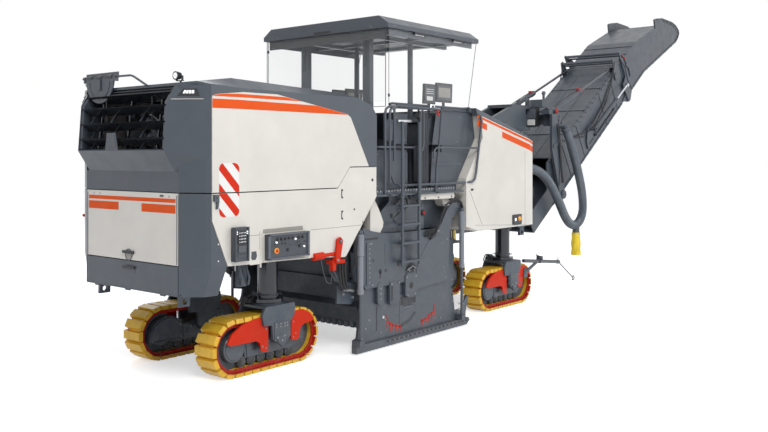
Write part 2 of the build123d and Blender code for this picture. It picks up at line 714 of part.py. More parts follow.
with BuildPart() as hood_top:
    # side bands over the white panels, and the roof
    side_skins(grey_edge[::-1] + band_top)
    add(hood_roof.part)
    for side in (-1, 1):
        # rear corners from the seam up, and the cheeks beside the grille
        prism_z(corner_plan(side), seam_z, 3300)
        add(cheek(side, 0.0) - cheek(side, panel))
    # band under the grille and the scoop that leans out to its lip
    block((tail_x, tail_x + panel), (-corner_y, corner_y), (seam_z, scoop_z))
    prism_y([(tail_x, scoop_z), (lip_x, grille_z_low), (lip_x + panel, grille_z_low + 14),
             (tail_x + panel, scoop_z)], -grille_half, grille_half)
    # hinge knuckles under the front of the roof
    for side in (-1, 1):
        block((hinge_x - 50, hood_front_x + 1), (side * hinge_y - lug_free,
              side * hinge_y + lug_free), (hinge_z - 60, hood_z), mode=Mode.SUBTRACT)
        knuckle = (side * hinge_y - 20, side * hinge_y + 20)
        prism_y([(hinge_x - 110, 3242), (hinge_x - 50, 3228), (hinge_x + 34, hinge_z),
                 (hinge_x, hinge_z - 34), (hinge_x - 34, hinge_z), (hinge_x - 110, 3170)],
                *knuckle)
        disc_y(hinge_x, hinge_z, hinge_pin + 0.5, knuckle[0] - 1, knuckle[1] + 1,
               mode=Mode.SUBTRACT)
finish_piece(hood_top, "hood_top")

# louvre blades: front edge (x, z) of each, leaning down towards the machine
blade_edges = [(lip_x + 6, 2735), (lip_x + 18, 2912), (lip_x + 32, 3088), (lip_x + 96, 3225)]
with BuildPart() as hood_louvres:
    for x, z in blade_edges:
        prism_y([(x, z), (x + 16, z + 6), (x + 116, z - 76), (x + 108, z - 88)],
                -grille_half, grille_half)
    for y in (-560, 0, 560):
        prism_y([(lip_x + 100, grille_z_low + 30), (lip_x + 124, grille_z_low + 30),
                 (lip_x + 210, 3190), (lip_x + 180, 3190)], y - 9, y + 9)
finish_piece(hood_louvres, "hood_louvres")

lamp_x = tail_x + 60.0
lamp_seat = 0.3


def hood_slope_z(x):
    """Just over the rear slope of the hood's roof."""
    (rear_x, rear_z, _), (top_x, top_z, _) = stations[:2]
    return rear_z + (top_z - rear_z) * (x - rear_x) / (top_x - rear_x) + lamp_seat


with BuildPart() as rear_lamps:
    for side in (-1, 1):
        y = side * (corner_y - 40)
        bar((lamp_x, y, crown_z), (lamp_x, y, 3400), 14)
        bar((lamp_x - 80, y, 3440), (lamp_x + 30, y, 3440), 62)
    # stalks stand on the sloping roof
    prism_y([(lamp_x - 30, hood_slope_z(lamp_x - 30)), (lamp_x + 30, hood_slope_z(lamp_x + 30)),
             (lamp_x + 30, crown_z - 10), (lamp_x - 30, crown_z - 10)], -corner_y, corner_y,
            mode=Mode.SUBTRACT)
finish_piece(rear_lamps, "rear_lamps")

# ---------------------------------------------------------------- front body and loading conveyor
loading_low_x, loading_low_z = -2860.0, 900.0
loading_high_x, loading_high_z = 450.0, 2750.0
loading_half_width = 430.0
loading_depth = 340.0
tunnel_gap = 25.0
loading_slope = (loading_high_z - loading_low_z) / (loading_high_x - loading_low_x)
loading_angle = math.degrees(math.atan(loading_slope))


deck_thickness = 25.0
deck_x = (hood_front_x + 20.0, front_body_x_rear - 60.0)
tub_z_low, tub_z_mid, tub_z_high = deck_z + 110.0, 2810.0, 3250.0
tub_x_mid, tub_x_top = -2340.0, -2420.0
tub_y = 1080.0


def roof_z(x):
    """Height of the front body's sloping roof."""
    fall = (front_body_z_rear - front_body_z_front) / (-2520.0 - front_body_x_front)
    return front_body_z_front + fall * (x - front_body_x_front)


def loading_z(x, above):
    """Height above the loading conveyor's middle line, measured square to it."""
    return loading_low_z + loading_slope * (x - loading_low_x) + above / math.cos(
        math.radians(loading_angle))


body_plan = [(front_body_x_rear, half_width), (front_body_x_front, half_width),
             (-740, half_width - 35), (front_face_x, half_width - 160)]
body_plan += [(x, -y) for x, y in body_plan[::-1]]
with BuildPart() as front_body:
    prism_z(body_plan, front_body_z_low, 3300)
    # sloping roof, grey tub behind, raised tail of the lower edge
    prism_y([(-3000, roof_z(-3000)), (0, roof_z(0)), (0, 3500), (-3000, 3500)],
            -half_width - 10, half_width + 10, mode=Mode.SUBTRACT)
    prism_y([(-3000, tub_z_high), (tub_x_top + joint_gap, tub_z_high),
             (tub_x_mid + joint_gap, tub_z_mid), (deck_x[1] + joint_gap, tub_z_low),
             (deck_x[1] + joint_gap, 1480), (-3000, 1480)],
            -half_width - 10, half_width + 10, mode=Mode.SUBTRACT)
    prism_y([(-3000, front_body_z_low - 5), (-2400, front_body_z_low - 5),
             (front_body_x_rear, 1485), (-3000, 1485)],
            -half_width - 10, half_width + 10, mode=Mode.SUBTRACT)
    # room for the frame, the column sleeves and the loading conveyor
    for low, high in both(girder_y - girder_width / 2, girder_y + girder_width / 2):
        block((-3000, 0), (low, high), (frame_z_low - 10, frame_z_high), mode=Mode.SUBTRACT)
    block((column_x_front - 230, 0), (-eye_y - 40, eye_y + 40), (frame_z_low, frame_z_high),
          mode=Mode.SUBTRACT)
    for side in (-1, 1):
        bar((column_x_front, side * column_y, frame_z_low), (column_x_front, side * column_y,
            column_top + column_stroke + 20), sleeve_radius, mode=Mode.SUBTRACT)
    tunnel = loading_depth / 2 + tunnel_gap
    prism_y([(-3200, loading_z(-3200, -tunnel)), (0, loading_z(0, -tunnel)),
             (0, loading_z(0, tunnel)), (-3200, loading_z(-3200, tunnel))],
            -loading_half_width - tunnel_gap, loading_half_width + tunnel_gap,
            mode=Mode.SUBTRACT)
finish_piece(front_body, "front_body")

loading_wall = 20.0
with BuildPart() as loading_conveyor:
    half = loading_depth / 2
    prism_y([(loading_low_x, loading_z(loading_low_x, -half)),
             (loading_high_x, loading_z(loading_high_x, -half)),
             (loading_high_x, loading_z(loading_high_x, half)),
             (loading_low_x, loading_z(loading_low_x, half))],
            -loading_half_width, loading_half_width)
    half -= loading_wall
    prism_y([(loading_low_x - 50, loading_z(loading_low_x - 50, -half)),
             (loading_high_x + 50, loading_z(loading_high_x + 50, -half)),
             (loading_high_x + 50, loading_z(loading_high_x + 50, half)),
             (loading_low_x - 50, loading_z(loading_low_x - 50, half))],
            -loading_half_width + loading_wall, loading_half_width - loading_wall,
            mode=Mode.SUBTRACT)
    # brackets to the girders
    for low, high in both(loading_half_width - 5, girder_y - girder_width / 2):
        block((-2010, -1890), (low, high), (frame_z_low + 20, front_body_z_low - 5))
    for x in (loading_low_x + 130, loading_high_x - 130):
        disc_y(x, loading_z(x, -60), 65, -loading_half_width, loading_half_width)
finish_piece(loading_conveyor, "loading_conveyor")

# ---------------------------------------------------------------- platform
bulkhead_top = 2960.0
rail_radius = 19.0
post_bore_x, post_bore_y = 41.0, post_width / 2 - 19.0
front_post_bore = 41.0
post_fit = 0.6
rail_y = half_width + 8.0
with BuildPart() as platform:
    block(deck_x, (-half_width, half_width), (deck_z - deck_thickness, deck_z))
    block((deck_x[0], deck_x[0] + panel), (-1120, 1120), (deck_z, bulkhead_top))
    # hood hinge lugs with their pins
    for side in (-1, 1):
        for low, high in ((hinge_y - 60, hinge_y - 28), (hinge_y + 28, hinge_y + 60)):
            lug = sorted((side * low, side * high))
            prism_y([(deck_x[0] + panel, bulkhead_top - 200), (deck_x[0] + panel, hinge_z),
                     (hinge_x, hinge_z + 30), (hinge_x - 30, hinge_z), (deck_x[0], bulkhead_top - 200)],
                    *lug)
        disc_y(hinge_x, hinge_z, hinge_pin, *sorted((side * (hinge_y - 60), side * (hinge_y + 60))))
    # grey tub walls beside the operator's place, leaning with the front body
    tub_front = [(deck_x[1], deck_z), (deck_x[1], tub_z_low), (tub_x_mid, tub_z_mid),
                 (tub_x_top, tub_z_high)]
    for low, high in both(tub_y, tub_y + panel):
        prism_y([(deck_x[1] - 420, deck_z)] + tub_front + [(-3200, tub_z_high), (-3200, 2900)],
                low, high)
    prism_y(tub_front + [(x - panel, z) for x, z in tub_front[::-1]], -tub_y, tub_y)
    # outer posts that carry the canopy
    for side in (-1, 1):
        post = sorted((side * (post_y - post_width / 2), side * (post_y + post_width / 2)))
        block((post_x - 60, post_x + 60), post, (deck_z, 2960))
        block((post_x - post_bore_x, post_x + post_bore_x), (side * post_y - post_bore_y,
              side * post_y + post_bore_y), (deck_z + 40, 2961), mode=Mode.SUBTRACT)
        bar((front_post_x, side * front_post_y, deck_z), (front_post_x, side * front_post_y, 2960),
            52, bore=front_post_bore)
    # box of valves and tool store under the deck, between the milling unit and the deck
    block((deck_x[0], deck_x[1]), (-1000, 1000), (frame_z_high, deck_z - deck_thickness))
finish_piece(platform, "platform")

with BuildPart() as canopy:
    prism_x([(-canopy_half_width, canopy_z), (canopy_half_width, canopy_z),
             (canopy_half_width, canopy_z + 60), (canopy_half_width - 160, canopy_z + canopy_depth),
             (-canopy_half_width + 160, canopy_z + canopy_depth),
             (-canopy_half_width, canopy_z + 60)], canopy_x_rear, canopy_x_front)
    block((canopy_x_rear + 60, canopy_x_front - 60), (-canopy_half_width + 60,
          canopy_half_width - 60), (canopy_z - 1, canopy_z + 50), mode=Mode.SUBTRACT)
    for side in (-1, 1):
        y = side * post_y
        post_z = (deck_z + 50 + canopy_drop, canopy_z + 50)
        inner_x, inner_y = post_bore_x - post_fit, post_bore_y - post_fit
        block((post_x - inner_x, post_x + inner_x), (y - inner_y, y + inner_y), post_z)
        bar((front_post_x, side * front_post_y, post_z[0]),
            (front_post_x, side * front_post_y, post_z[1]), front_post_bore - post_fit)
finish_piece(canopy, "canopy")

pane_y = canopy_half_width - 50.0
with BuildPart() as canopy_glass:
    block((canopy_x_rear + 20, canopy_x_rear + 20 + glass_thickness), (-pane_y, pane_y),
          (glass_z_low, canopy_z))
    for side in (-1, 1):
        prism_y([(canopy_x_rear + 60, glass_z_low), (-2610, glass_z_low), (canopy_x_front, canopy_z),
                 (canopy_x_rear + 60, canopy_z)],
                *sorted((side * (pane_y + 14), side * (pane_y + 14 + glass_thickness))))
finish_piece(canopy_glass, "canopy_glass")

console_top = 3230.0
with BuildPart() as consoles:
    for side in (-1, 1):
        box = sorted((side * 700, side * 1060))
        prism_y([(-3560, 2700), (-2760, 2700), (-2560, 3100), (-2600, console_top),
                 (-3300, console_top - 60), (-3560, 3000)], *box)
        block((-3300, -2950), sorted((side * 800, side * 1000)), (deck_z, 2700))
finish_piece(consoles, "consoles")

with BuildPart() as seat_frames:
    for side in (-1, 1):
        y = side * 330
        block((-4060, -3700), (y - 60, y + 60), (deck_z, 2440))
        block((-4140, -3640), (y - 220, y + 220), (2440, 2470))
        block((-4180, -4140), (y - 200, y + 200), (2440, 3010))
finish_piece(seat_frames, "seat_frames")
with BuildPart() as seat_pads:
    for side in (-1, 1):
        y = side * 330
        block((-4060, -3620), (y - 230, y + 230), (2470.3, 2570))
        block((-4139.7, -4070), (y - 220, y + 220), (2590, 3080))
finish_piece(seat_pads, "seat_pads")

with BuildPart() as rails:
    for side in (-1, 1):
        y = side * (half_width - 24)
        ends = ((-4700, -4240, 0), (-3920, deck_x[1] - 30, 380))
        for start, end, lean in ends:
            knee = [(end, y, deck_z + 140)] if lean else []
            rail_tube([(start, y, deck_z), (start, y, 3160), (end + lean, y, 3160)] + knee
                      + [(end, y, deck_z)], rail_radius)
            bar((start, y, 2600), (end + lean / 2, y, 2600), rail_radius * 0.8)
finish_piece(rails, "rails")

ladder_y = half_width + 40.0
ladder_x = (-4372.0, -4000.0)
step_count = 4
with BuildPart() as ladders:
    for side in (-1, 1):
        y = side * ladder_y
        for x in ladder_x:
            bar((x, y, 1060), (x, y, 3000), 22)
            block((x - 20, x + 20), sorted((side * half_width, y)),
                  (deck_z - deck_thickness, deck_z))
        for number in range(step_count):
            z = 1100 + number * 250
            block(ladder_x, sorted((side * (half_width - 40), side * (ladder_y + 22))),
                  (z, z + 30))
finish_piece(ladders, "ladders")

# ---------------------------------------------------------------- mast and swivel tower
with BuildPart() as front_mast:
    for low, high in both(mast_half - mast_plate, mast_half):
        prism_y([(-1150, roof_z(-1150)), (front_face_x, roof_z(front_face_x)),
                 (loading_high_x + 20, 3030), (slew_x - 100, 3030), (slew_x - 100, mast_high_z + 60),
                 (300, mast_high_z + 60), (-700, 3130), (-1150, 3000)], low, high)
    for z in (mast_low_z, mast_high_z):
        block((200, slew_x), (-mast_half, mast_half), (z, z + mast_plate))
        bar((slew_x, 0, z), (slew_x, 0, z + mast_plate), mast_half)
        bar((slew_x, 0, z - 1), (slew_x, 0, z + mast_plate + 1), slew_pin_radius + 0.5,
            mode=Mode.SUBTRACT)
finish_piece(front_mast, "front_mast")

swivel_gap = 8.0
leg_y = conveyor_half_width + 45.0
leg_thickness = 50.0
leg_back = slew_x + 165.0  # rear edge of the legs, clear of the loading conveyor at full slew
cross_z = (3130.0, 3320.0)
with BuildPart() as swivel_tower:
    bar((slew_x, 0, mast_low_z - 10), (slew_x, 0, mast_high_z + mast_plate + 20), slew_pin_radius)
    bar((slew_x, 0, mast_low_z + mast_plate + swivel_gap), (slew_x, 0, mast_high_z - swivel_gap), 170)
    block((slew_x, 1200), (-170, 170), cross_z)
    block((1130, 1300), (-leg_y - leg_thickness, leg_y + leg_thickness), cross_z)
    for low, high in both(leg_y, leg_y + leg_thickness):
        prism_y([(leg_back, cross_z[1]), (1300, cross_z[1]), (1280, 2800), (1470, 1850), (1400, 1700),
                 (1300, 1740), (1220, 1950), (leg_back, 2660)], low, high)
        disc_y(luff_x, luff_z, pin_radius + 0.5, low - 1, high + 1, mode=Mode.SUBTRACT)
    for side in (-1, 1):
        for offset in (-76, 56):
            y = side * lift_y + offset
            prism_y([(1170, cross_z[0]), (1290, cross_z[0]), (1290, lift_base_z),
                     (1245, lift_base_z + 45), (1200, lift_base_z)], y, y + 20)
        disc_y(lift_base_x, lift_base_z, 20, side * lift_y - 76, side * lift_y + 76)
finish_piece(swivel_tower, "swivel_tower")

# ---------------------------------------------------------------- discharge conveyor
cos_c = math.cos(math.radians(conveyor_angle))
sin_c = math.sin(math.radians(conveyor_angle))
floor_v = -45.0
cover_v = floor_v + conveyor_depth


def along(u, v):
    """Point (x, z) at u along the conveyor from the luff pin, v square to it."""
    return luff_x + u * cos_c - v * sin_c, luff_z + u * sin_c + v * cos_c


fold_gap = 10.0
fold_v = floor_v - 50.0
knee_u = fold_ahead + head_straight
cos_h = math.cos(math.radians(head_angle))
sin_h = math.sin(math.radians(head_angle))


def ahead(u, v):
    """Point (x, z) at u past the knee along the head section, v square to it."""
    knee_x, knee_z = along(knee_u, floor_v)
    return knee_x + u * cos_h - v * sin_h, knee_z + u * sin_h + v * cos_h


wall_in = conveyor_half_width - conveyor_wall
lower_outline = [along(-tail_back, floor_v), along(fold_ahead - fold_gap, floor_v),
                 along(fold_ahead - fold_gap, cover_v), along(-60, cover_v), along(-330, 330),
                 along(-tail_back, 330)]
pulley_radius = 100.0
with BuildPart() as discharge_lower:
    for low, high in both(wall_in, conveyor_half_width):
        prism_y(lower_outline, low, high)
    prism_y([along(-tail_back, floor_v), along(fold_ahead - fold_gap, floor_v),
             along(fold_ahead - fold_gap, floor_v + 20), along(-tail_back, floor_v + 20)],
            -wall_in, wall_in)
    prism_y([along(120, cover_v - 20), along(fold_ahead - fold_gap, cover_v - 20),
             along(fold_ahead - fold_gap, cover_v), along(120, cover_v)], -wall_in, wall_in)
    for u in (-tail_back + 150, fold_ahead - 160):
        disc_y(*along(u, 110), pulley_radius, -wall_in, wall_in)
    for low, high in both(conveyor_half_width, conveyor_half_width + 20):
        # ears that carry the fold pin, and the luff pins
        prism_y([along(fold_ahead - 260, 0), along(fold_ahead - 60, fold_v - 40),
                 along(fold_ahead + 40, fold_v - 40), along(fold_ahead + 40, fold_v + 40),
                 along(fold_ahead - 60, 60)], low, high)
        disc_y(*along(fold_ahead, fold_v), pin_radius + 0.5, low - 1, high + 1, mode=Mode.SUBTRACT)
    for low, high in both(wall_in, leg_y + leg_thickness):
        disc_y(luff_x, luff_z, pin_radius, low, high)
    for side in (-1, 1):
        for offset in (-50, 30):
            y = side * lift_y + offset
            if abs(y + 10) > wall_in:
                continue
            prism_y([along(3440, cover_v - 10), along(3640, cover_v - 10), (lift_eye_x + 40,
                     lift_eye_z + 20), (lift_eye_x, lift_eye_z + 45), (lift_eye_x - 45, lift_eye_z)],
                    y, y + 20)
finish_piece(discharge_lower, "discharge_lower")

ear_ahead = 48.0           # lower ears reach this far past the fold pin
lever_y = conveyor_half_width + 28.0
lever_thickness = 22.0
fold_eye_u, fold_eye_v = fold_ahead - 84.0, 300.0
with BuildPart() as discharge_head:
    wall_low = [along(fold_ahead + fold_gap, floor_v), along(knee_u, floor_v), ahead(head_length, 0),
                ahead(head_length + 200, 60), ahead(head_length + 300, 130),
                ahead(head_length + 310, 220), ahead(head_length + 170, 390),
                ahead(head_length - 30, 530), ahead(head_length - 600, 800),
                ahead(1180, 900), ahead(1060, 915), ahead(1020, 730), along(knee_u - 50, cover_v),
                along(fold_ahead + fold_gap, cover_v)]
    for low, high in both(wall_in, conveyor_half_width):
        prism_y(wall_low, low, high)
    prism_y([along(fold_ahead + fold_gap, floor_v), along(knee_u, floor_v), ahead(head_length, 0),
             ahead(head_length, 20), along(knee_u, floor_v + 20),
             along(fold_ahead + fold_gap, floor_v + 20)], -wall_in, wall_in)
    prism_y([along(fold_ahead + fold_gap, cover_v), along(knee_u - 50, cover_v), ahead(1200, 720),
             ahead(1200, 700), along(knee_u - 50, cover_v - 20),
             along(fold_ahead + fold_gap, cover_v - 20)], -wall_in, wall_in)
    disc_y(*ahead(head_length - 60, 160), pulley_radius + 20, -wall_in, wall_in)
    disc_y(*along(fold_ahead + 170, 110), pulley_radius, -wall_in, wall_in)
    for low, high in both(conveyor_half_width, lever_y + lever_thickness):
        disc_y(*along(fold_ahead, fold_v), pin_radius, low, high)
        block_u = fold_ahead + ear_ahead + 40
        prism_y([along(block_u, 20), along(block_u + 160, 20), along(block_u + 160, 500),
                 along(block_u, 500)], low, high)
    for low, high in both(lever_y, lever_y + lever_thickness):
        prism_y([along(fold_ahead - 44, fold_v - 44), along(fold_ahead + 44, fold_v - 44),
                 along(block_u + 160, 20), along(block_u + 160, 500),
                 along(fold_eye_u + 60, fold_eye_v + 60), along(fold_eye_u - 40, fold_eye_v + 40),
                 along(fold_eye_u - 40, fold_eye_v - 40)], low, high)
finish_piece(discharge_head, "discharge_head")

# lift and fold cylinders: name, base, eye, y, barrel radius, barrel length, rod radius, rod start
fold_base_u, fold_base_v = 1806.0, 345.0
lift_base, lift_eye = (lift_base_x, lift_base_z), (lift_eye_x, lift_eye_z)
fold_base, fold_eye = along(fold_base_u, fold_base_v), along(fold_eye_u, fold_eye_v)
cylinder_table = [
    ("lift", lift_base, lift_eye, lift_y, 48.0, 1270.0, 24.0, 190.0),
    ("fold", fold_base, fold_eye, fold_y, 42.0, 1240.0, 22.0, 110.0),
]
bore_gap = 1.0
eye_gap = 0.5              # between the fold levers and the pins beside them
for name, base, eye, y_mid, outer, length, rod, start in cylinder_table:
    run = Vector(eye[0] - base[0], 0, eye[1] - base[1])
    way = run.normalized()
    with BuildPart() as barrels:
        for side in (-1, 1):
            y = side * y_mid
            foot = Vector(base[0], y, base[1])
            bar(tuple(foot), tuple(foot + way * length), outer)
            bar(tuple(foot + way * 60), tuple(foot + way * (length + 1)), rod + bore_gap,
                mode=Mode.SUBTRACT)
            disc_y(base[0], base[1], 44, y - 36, y + 36)
            disc_y(base[0], base[1], 20.5, y - 50, y + 50, mode=Mode.SUBTRACT)
    finish_piece(barrels, f"{name}_barrels")
    with BuildPart() as rods:
        for side in (-1, 1):
            y = side * y_mid
            foot = Vector(base[0], y, base[1])
            bar(tuple(foot + way * start), tuple(foot + run), rod)
            disc_y(eye[0], eye[1], 40, y - 26, y + 26)
            if name == "lift":
                disc_y(eye[0], eye[1], 18.5, y - 40, y + 40, mode=Mode.SUBTRACT)
            else:
                # the eye's pin ends at the lever, which has its own place at each fold angle
                pin = sorted((side * (lever_y + lever_thickness + eye_gap), side * (y_mid + 44)))
                disc_y(eye[0], eye[1], 18, *pin)
    finish_piece(rods, f"{name}_rods")

# ---------------------------------------------------------------- dust hose and small items
hose_radius = 85.0
hose_y = -790.0
hose_points = [(front_face_x, 2330), (-260, 2330), (480, 2200), (1060, 1700), (1400, 1270),
               (1960, 1270), (2020, 1700), (1760, 2300), (1250, 3080)]
hose_bends = [200, 420, 500, 240, 240, 420, 700]
with BuildPart() as dust_hose:
    with BuildLine() as hose_route:
        FilletPolyline(*[(x, hose_y, z) for x, z in hose_points], radius=hose_bends)
    with BuildSketch(Plane(origin=hose_route.line @ 0, z_dir=hose_route.line % 0)) as ring:
        Circle(hose_radius)
    sweep(ring.sketch, path=hose_route.line)
    # outlet with its sleeve at the lowest point
    bar((1700, hose_y, 700), (1700, hose_y, 1270), 70)
finish_piece(dust_hose, "dust_hose")

with BuildPart() as control_panels:
    for low, high in both(half_width, half_width + 70):
        block((-7310, -7105), (low, high), (1400, 1770))
        block((-6825, -6170), (low, high), (1375, 1660))
finish_piece(control_panels, "control_panels")

with BuildPart() as sensor_arm:
    for side in (-1, 1):
        inner = sorted((side * (inner_side - 70), side * (inner_side - 10)))
        block((-5556, -5494), inner, (1120, beam_z[0]))
        block((-5760, -5494), sorted((side * (inner_side - 70), side * (half_width + 20))),
              (1080, 1120))
        block((-5760, -5700), sorted((side * (half_width - 40), side * (half_width + 20))),
              (920, 1080))
finish_piece(sensor_arm, "sensor_arm")
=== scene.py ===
"""Finish, trim and setting of the cold planer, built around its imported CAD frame.

Metres, +X is the working direction."""
import math

import bmesh
import bpy
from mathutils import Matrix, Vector
from mathutils.bvhtree import BVHTree


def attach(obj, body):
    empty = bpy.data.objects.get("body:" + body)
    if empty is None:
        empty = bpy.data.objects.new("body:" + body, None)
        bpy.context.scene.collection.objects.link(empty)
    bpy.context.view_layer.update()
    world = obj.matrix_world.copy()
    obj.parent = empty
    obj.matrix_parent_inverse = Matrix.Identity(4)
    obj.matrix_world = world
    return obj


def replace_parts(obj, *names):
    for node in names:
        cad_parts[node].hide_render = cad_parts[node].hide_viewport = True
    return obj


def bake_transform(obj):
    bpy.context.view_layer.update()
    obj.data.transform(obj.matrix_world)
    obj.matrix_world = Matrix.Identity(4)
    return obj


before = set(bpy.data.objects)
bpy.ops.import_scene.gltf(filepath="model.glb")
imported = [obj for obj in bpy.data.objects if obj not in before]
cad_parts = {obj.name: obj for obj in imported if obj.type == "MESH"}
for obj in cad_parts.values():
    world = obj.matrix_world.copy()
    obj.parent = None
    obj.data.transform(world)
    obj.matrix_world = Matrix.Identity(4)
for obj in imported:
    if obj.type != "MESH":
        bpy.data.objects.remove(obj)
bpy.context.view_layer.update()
scene = bpy.context.scene
scene.view_settings.view_transform = "Standard"

SIDES = (-1, 1)            # right, left
SIDE_NAME = {-1: "right", 1: "left"}

# ---------------------------------------------------------------- camera


def make_camera():
    data = bpy.data.cameras.new("camera")
    data.lens = 39.98
    data.sensor_width = 36.0
    data.shift_y = -0.0794
    data.clip_end = 500.0
    camera = bpy.data.objects.new("camera", data)
    camera.location = (-13.37, -8.31, 2.55)
    camera.rotation_euler = (math.radians(90.0), 0.0, math.radians(-50.8))
    scene.collection.objects.link(camera)
    scene.camera = camera


make_camera()

# ---------------------------------------------------------------- materials


class Nodes:
    """Short calls for building one node material."""

    def __init__(self, name):
        self.material = bpy.data.materials.new(name)
        self.material.use_nodes = True
        self.tree = self.material.node_tree
        self.shader = self.tree.nodes["Principled BSDF"]
        self.place = self.add("ShaderNodeTexCoord").outputs["Object"]

    def add(self, kind, **inputs):
        node = self.tree.nodes.new(kind)
        for key, value in inputs.items():
            node.inputs[key.replace("_", " ")].default_value = value
        return node

    def join(self, value, socket):
        """Link an output to an input, or set a plain value."""
        if isinstance(value, bpy.types.NodeSocket):
            self.tree.links.new(value, socket)
        else:
            socket.default_value = value

    def give(self, name, value):
        self.join(value, self.shader.inputs[name])

    def noise(self, scale, detail, roughness=0.6, stretch=None):
        node = self.add("ShaderNodeTexNoise", Scale=scale, Detail=detail, Roughness=roughness)
        source = self.place
        if stretch:
            mapping = self.add("ShaderNodeMapping")
            mapping.inputs["Scale"].default_value = stretch
            self.join(self.place, mapping.inputs["Vector"])
            source = mapping.outputs["Vector"]
        self.join(source, node.inputs["Vector"])
        return node.outputs["Fac"]

    def ramp(self, value, low, high, start=0.0, end=1.0):
        node = self.add("ShaderNodeMapRange", From_Min=low, From_Max=high, To_Min=start, To_Max=end)
        self.join(value, node.inputs["Value"])
        return node.outputs["Result"]

    def math(self, operation, first, second):
        node = self.add("ShaderNodeMath")
        node.operation = operation
        for value, socket in zip((first, second), node.inputs):
            self.join(value, socket)
        return node.outputs["Value"]

    def mix(self, factor, first, second):
        node = self.add("ShaderNodeMix")
        node.data_type = "RGBA"
        for value, socket in zip((factor, first, second), [s for s in node.inputs if s.enabled]):
            self.join(value, socket)
        return next(s for s in node.outputs if s.enabled)

    def height(self):
        split = self.add("ShaderNodeSeparateXYZ")
        self.join(self.place, split.inputs[0])
        return split.outputs["Z"]

    def bump(self, value, strength, distance):
        node = self.add("ShaderNodeBump", Strength=strength, Distance=distance)
        self.join(value, node.inputs["Height"])
        self.give("Normal", node.outputs["Normal"])


def colour(red, green, blue):
    return (red, green, blue, 1.0)


def shaded(base, share, lift=0.0):
    """A colour made darker or lighter by a share."""
    return colour(*(min(1.0, c * share + lift) for c in base[:3]))


DUST = colour(0.42, 0.39, 0.34)


def painted(name, base, rough, coat, dust, dust_top=1.4, peel=0.12, metal=0.0, shine=0.5):
    """Gloss paint: slight shade changes, orange peel, dust that thins with height."""
    n = Nodes(name)
    shade = n.ramp(n.noise(1.7, 3.0), 0.3, 0.7)
    body = n.mix(shade, shaded(base, 0.9), base)
    spots = n.ramp(n.noise(9.0, 8.0, 0.7), 0.42, 0.75)
    low = n.ramp(n.height(), 0.0, dust_top, dust, dust * 0.12)
    n.give("Base Color", n.mix(n.math("MULTIPLY", spots, low), body, DUST))
    n.give("Roughness", n.ramp(n.noise(5.0, 6.0), 0.3, 0.75, rough * 0.85, min(1.0, rough * 1.35)))
    n.give("Coat Weight", coat)
    n.give("Coat Roughness", 0.12)
    n.give("Metallic", metal)
    n.give("Specular IOR Level", shine)
    n.bump(n.noise(260.0, 2.0), peel, 0.0006)
    return n.material


def bare_metal(name, base, rough):
    """Bare or plated metal with a drawn grain."""
    n = Nodes(name)
    n.give("Metallic", 1.0)
    lines = n.noise(60.0, 3.0, stretch=(1.0, 1.0, 12.0))
    n.give("Base Color", n.mix(n.ramp(lines, 0.3, 0.7), shaded(base, 0.8), base))
    n.give("Roughness", n.ramp(lines, 0.3, 0.7, rough * 0.7, rough * 1.4))
    n.bump(lines, 0.05, 0.0005)
    return n.material


def moulded(name, base, rough, grain=900.0, depth=0.25):
    """Moulded plastic or rubber with a fine grain."""
    n = Nodes(name)
    fine = n.noise(grain, 2.0)
    worn = n.ramp(n.noise(6.0, 5.0), 0.35, 0.8)
    n.give("Base Color", n.mix(worn, base, shaded(base, 1.35, 0.01)))
    n.give("Roughness", n.ramp(fine, 0.3, 0.7, rough * 0.9, min(1.0, rough * 1.15)))
    n.bump(fine, depth, 0.0006)
    return n.material


def clear_glass():
    n = Nodes("clear_glass")
    n.give("Base Color", colour(0.8, 0.84, 0.85))
    n.give("Roughness", 0.03)
    n.give("Alpha", 0.05)
    n.bump(n.noise(3.0, 2.0), 0.02, 0.001)
    return n.material


def glowing(name, base, strength):
    n = Nodes(name)
    n.give("Base Color", base)
    n.give("Emission Color", base)
    n.give("Emission Strength", strength)
    n.give("Roughness", 0.2)
    n.bump(n.noise(300.0, 2.0), 0.05, 0.0005)
    return n.material


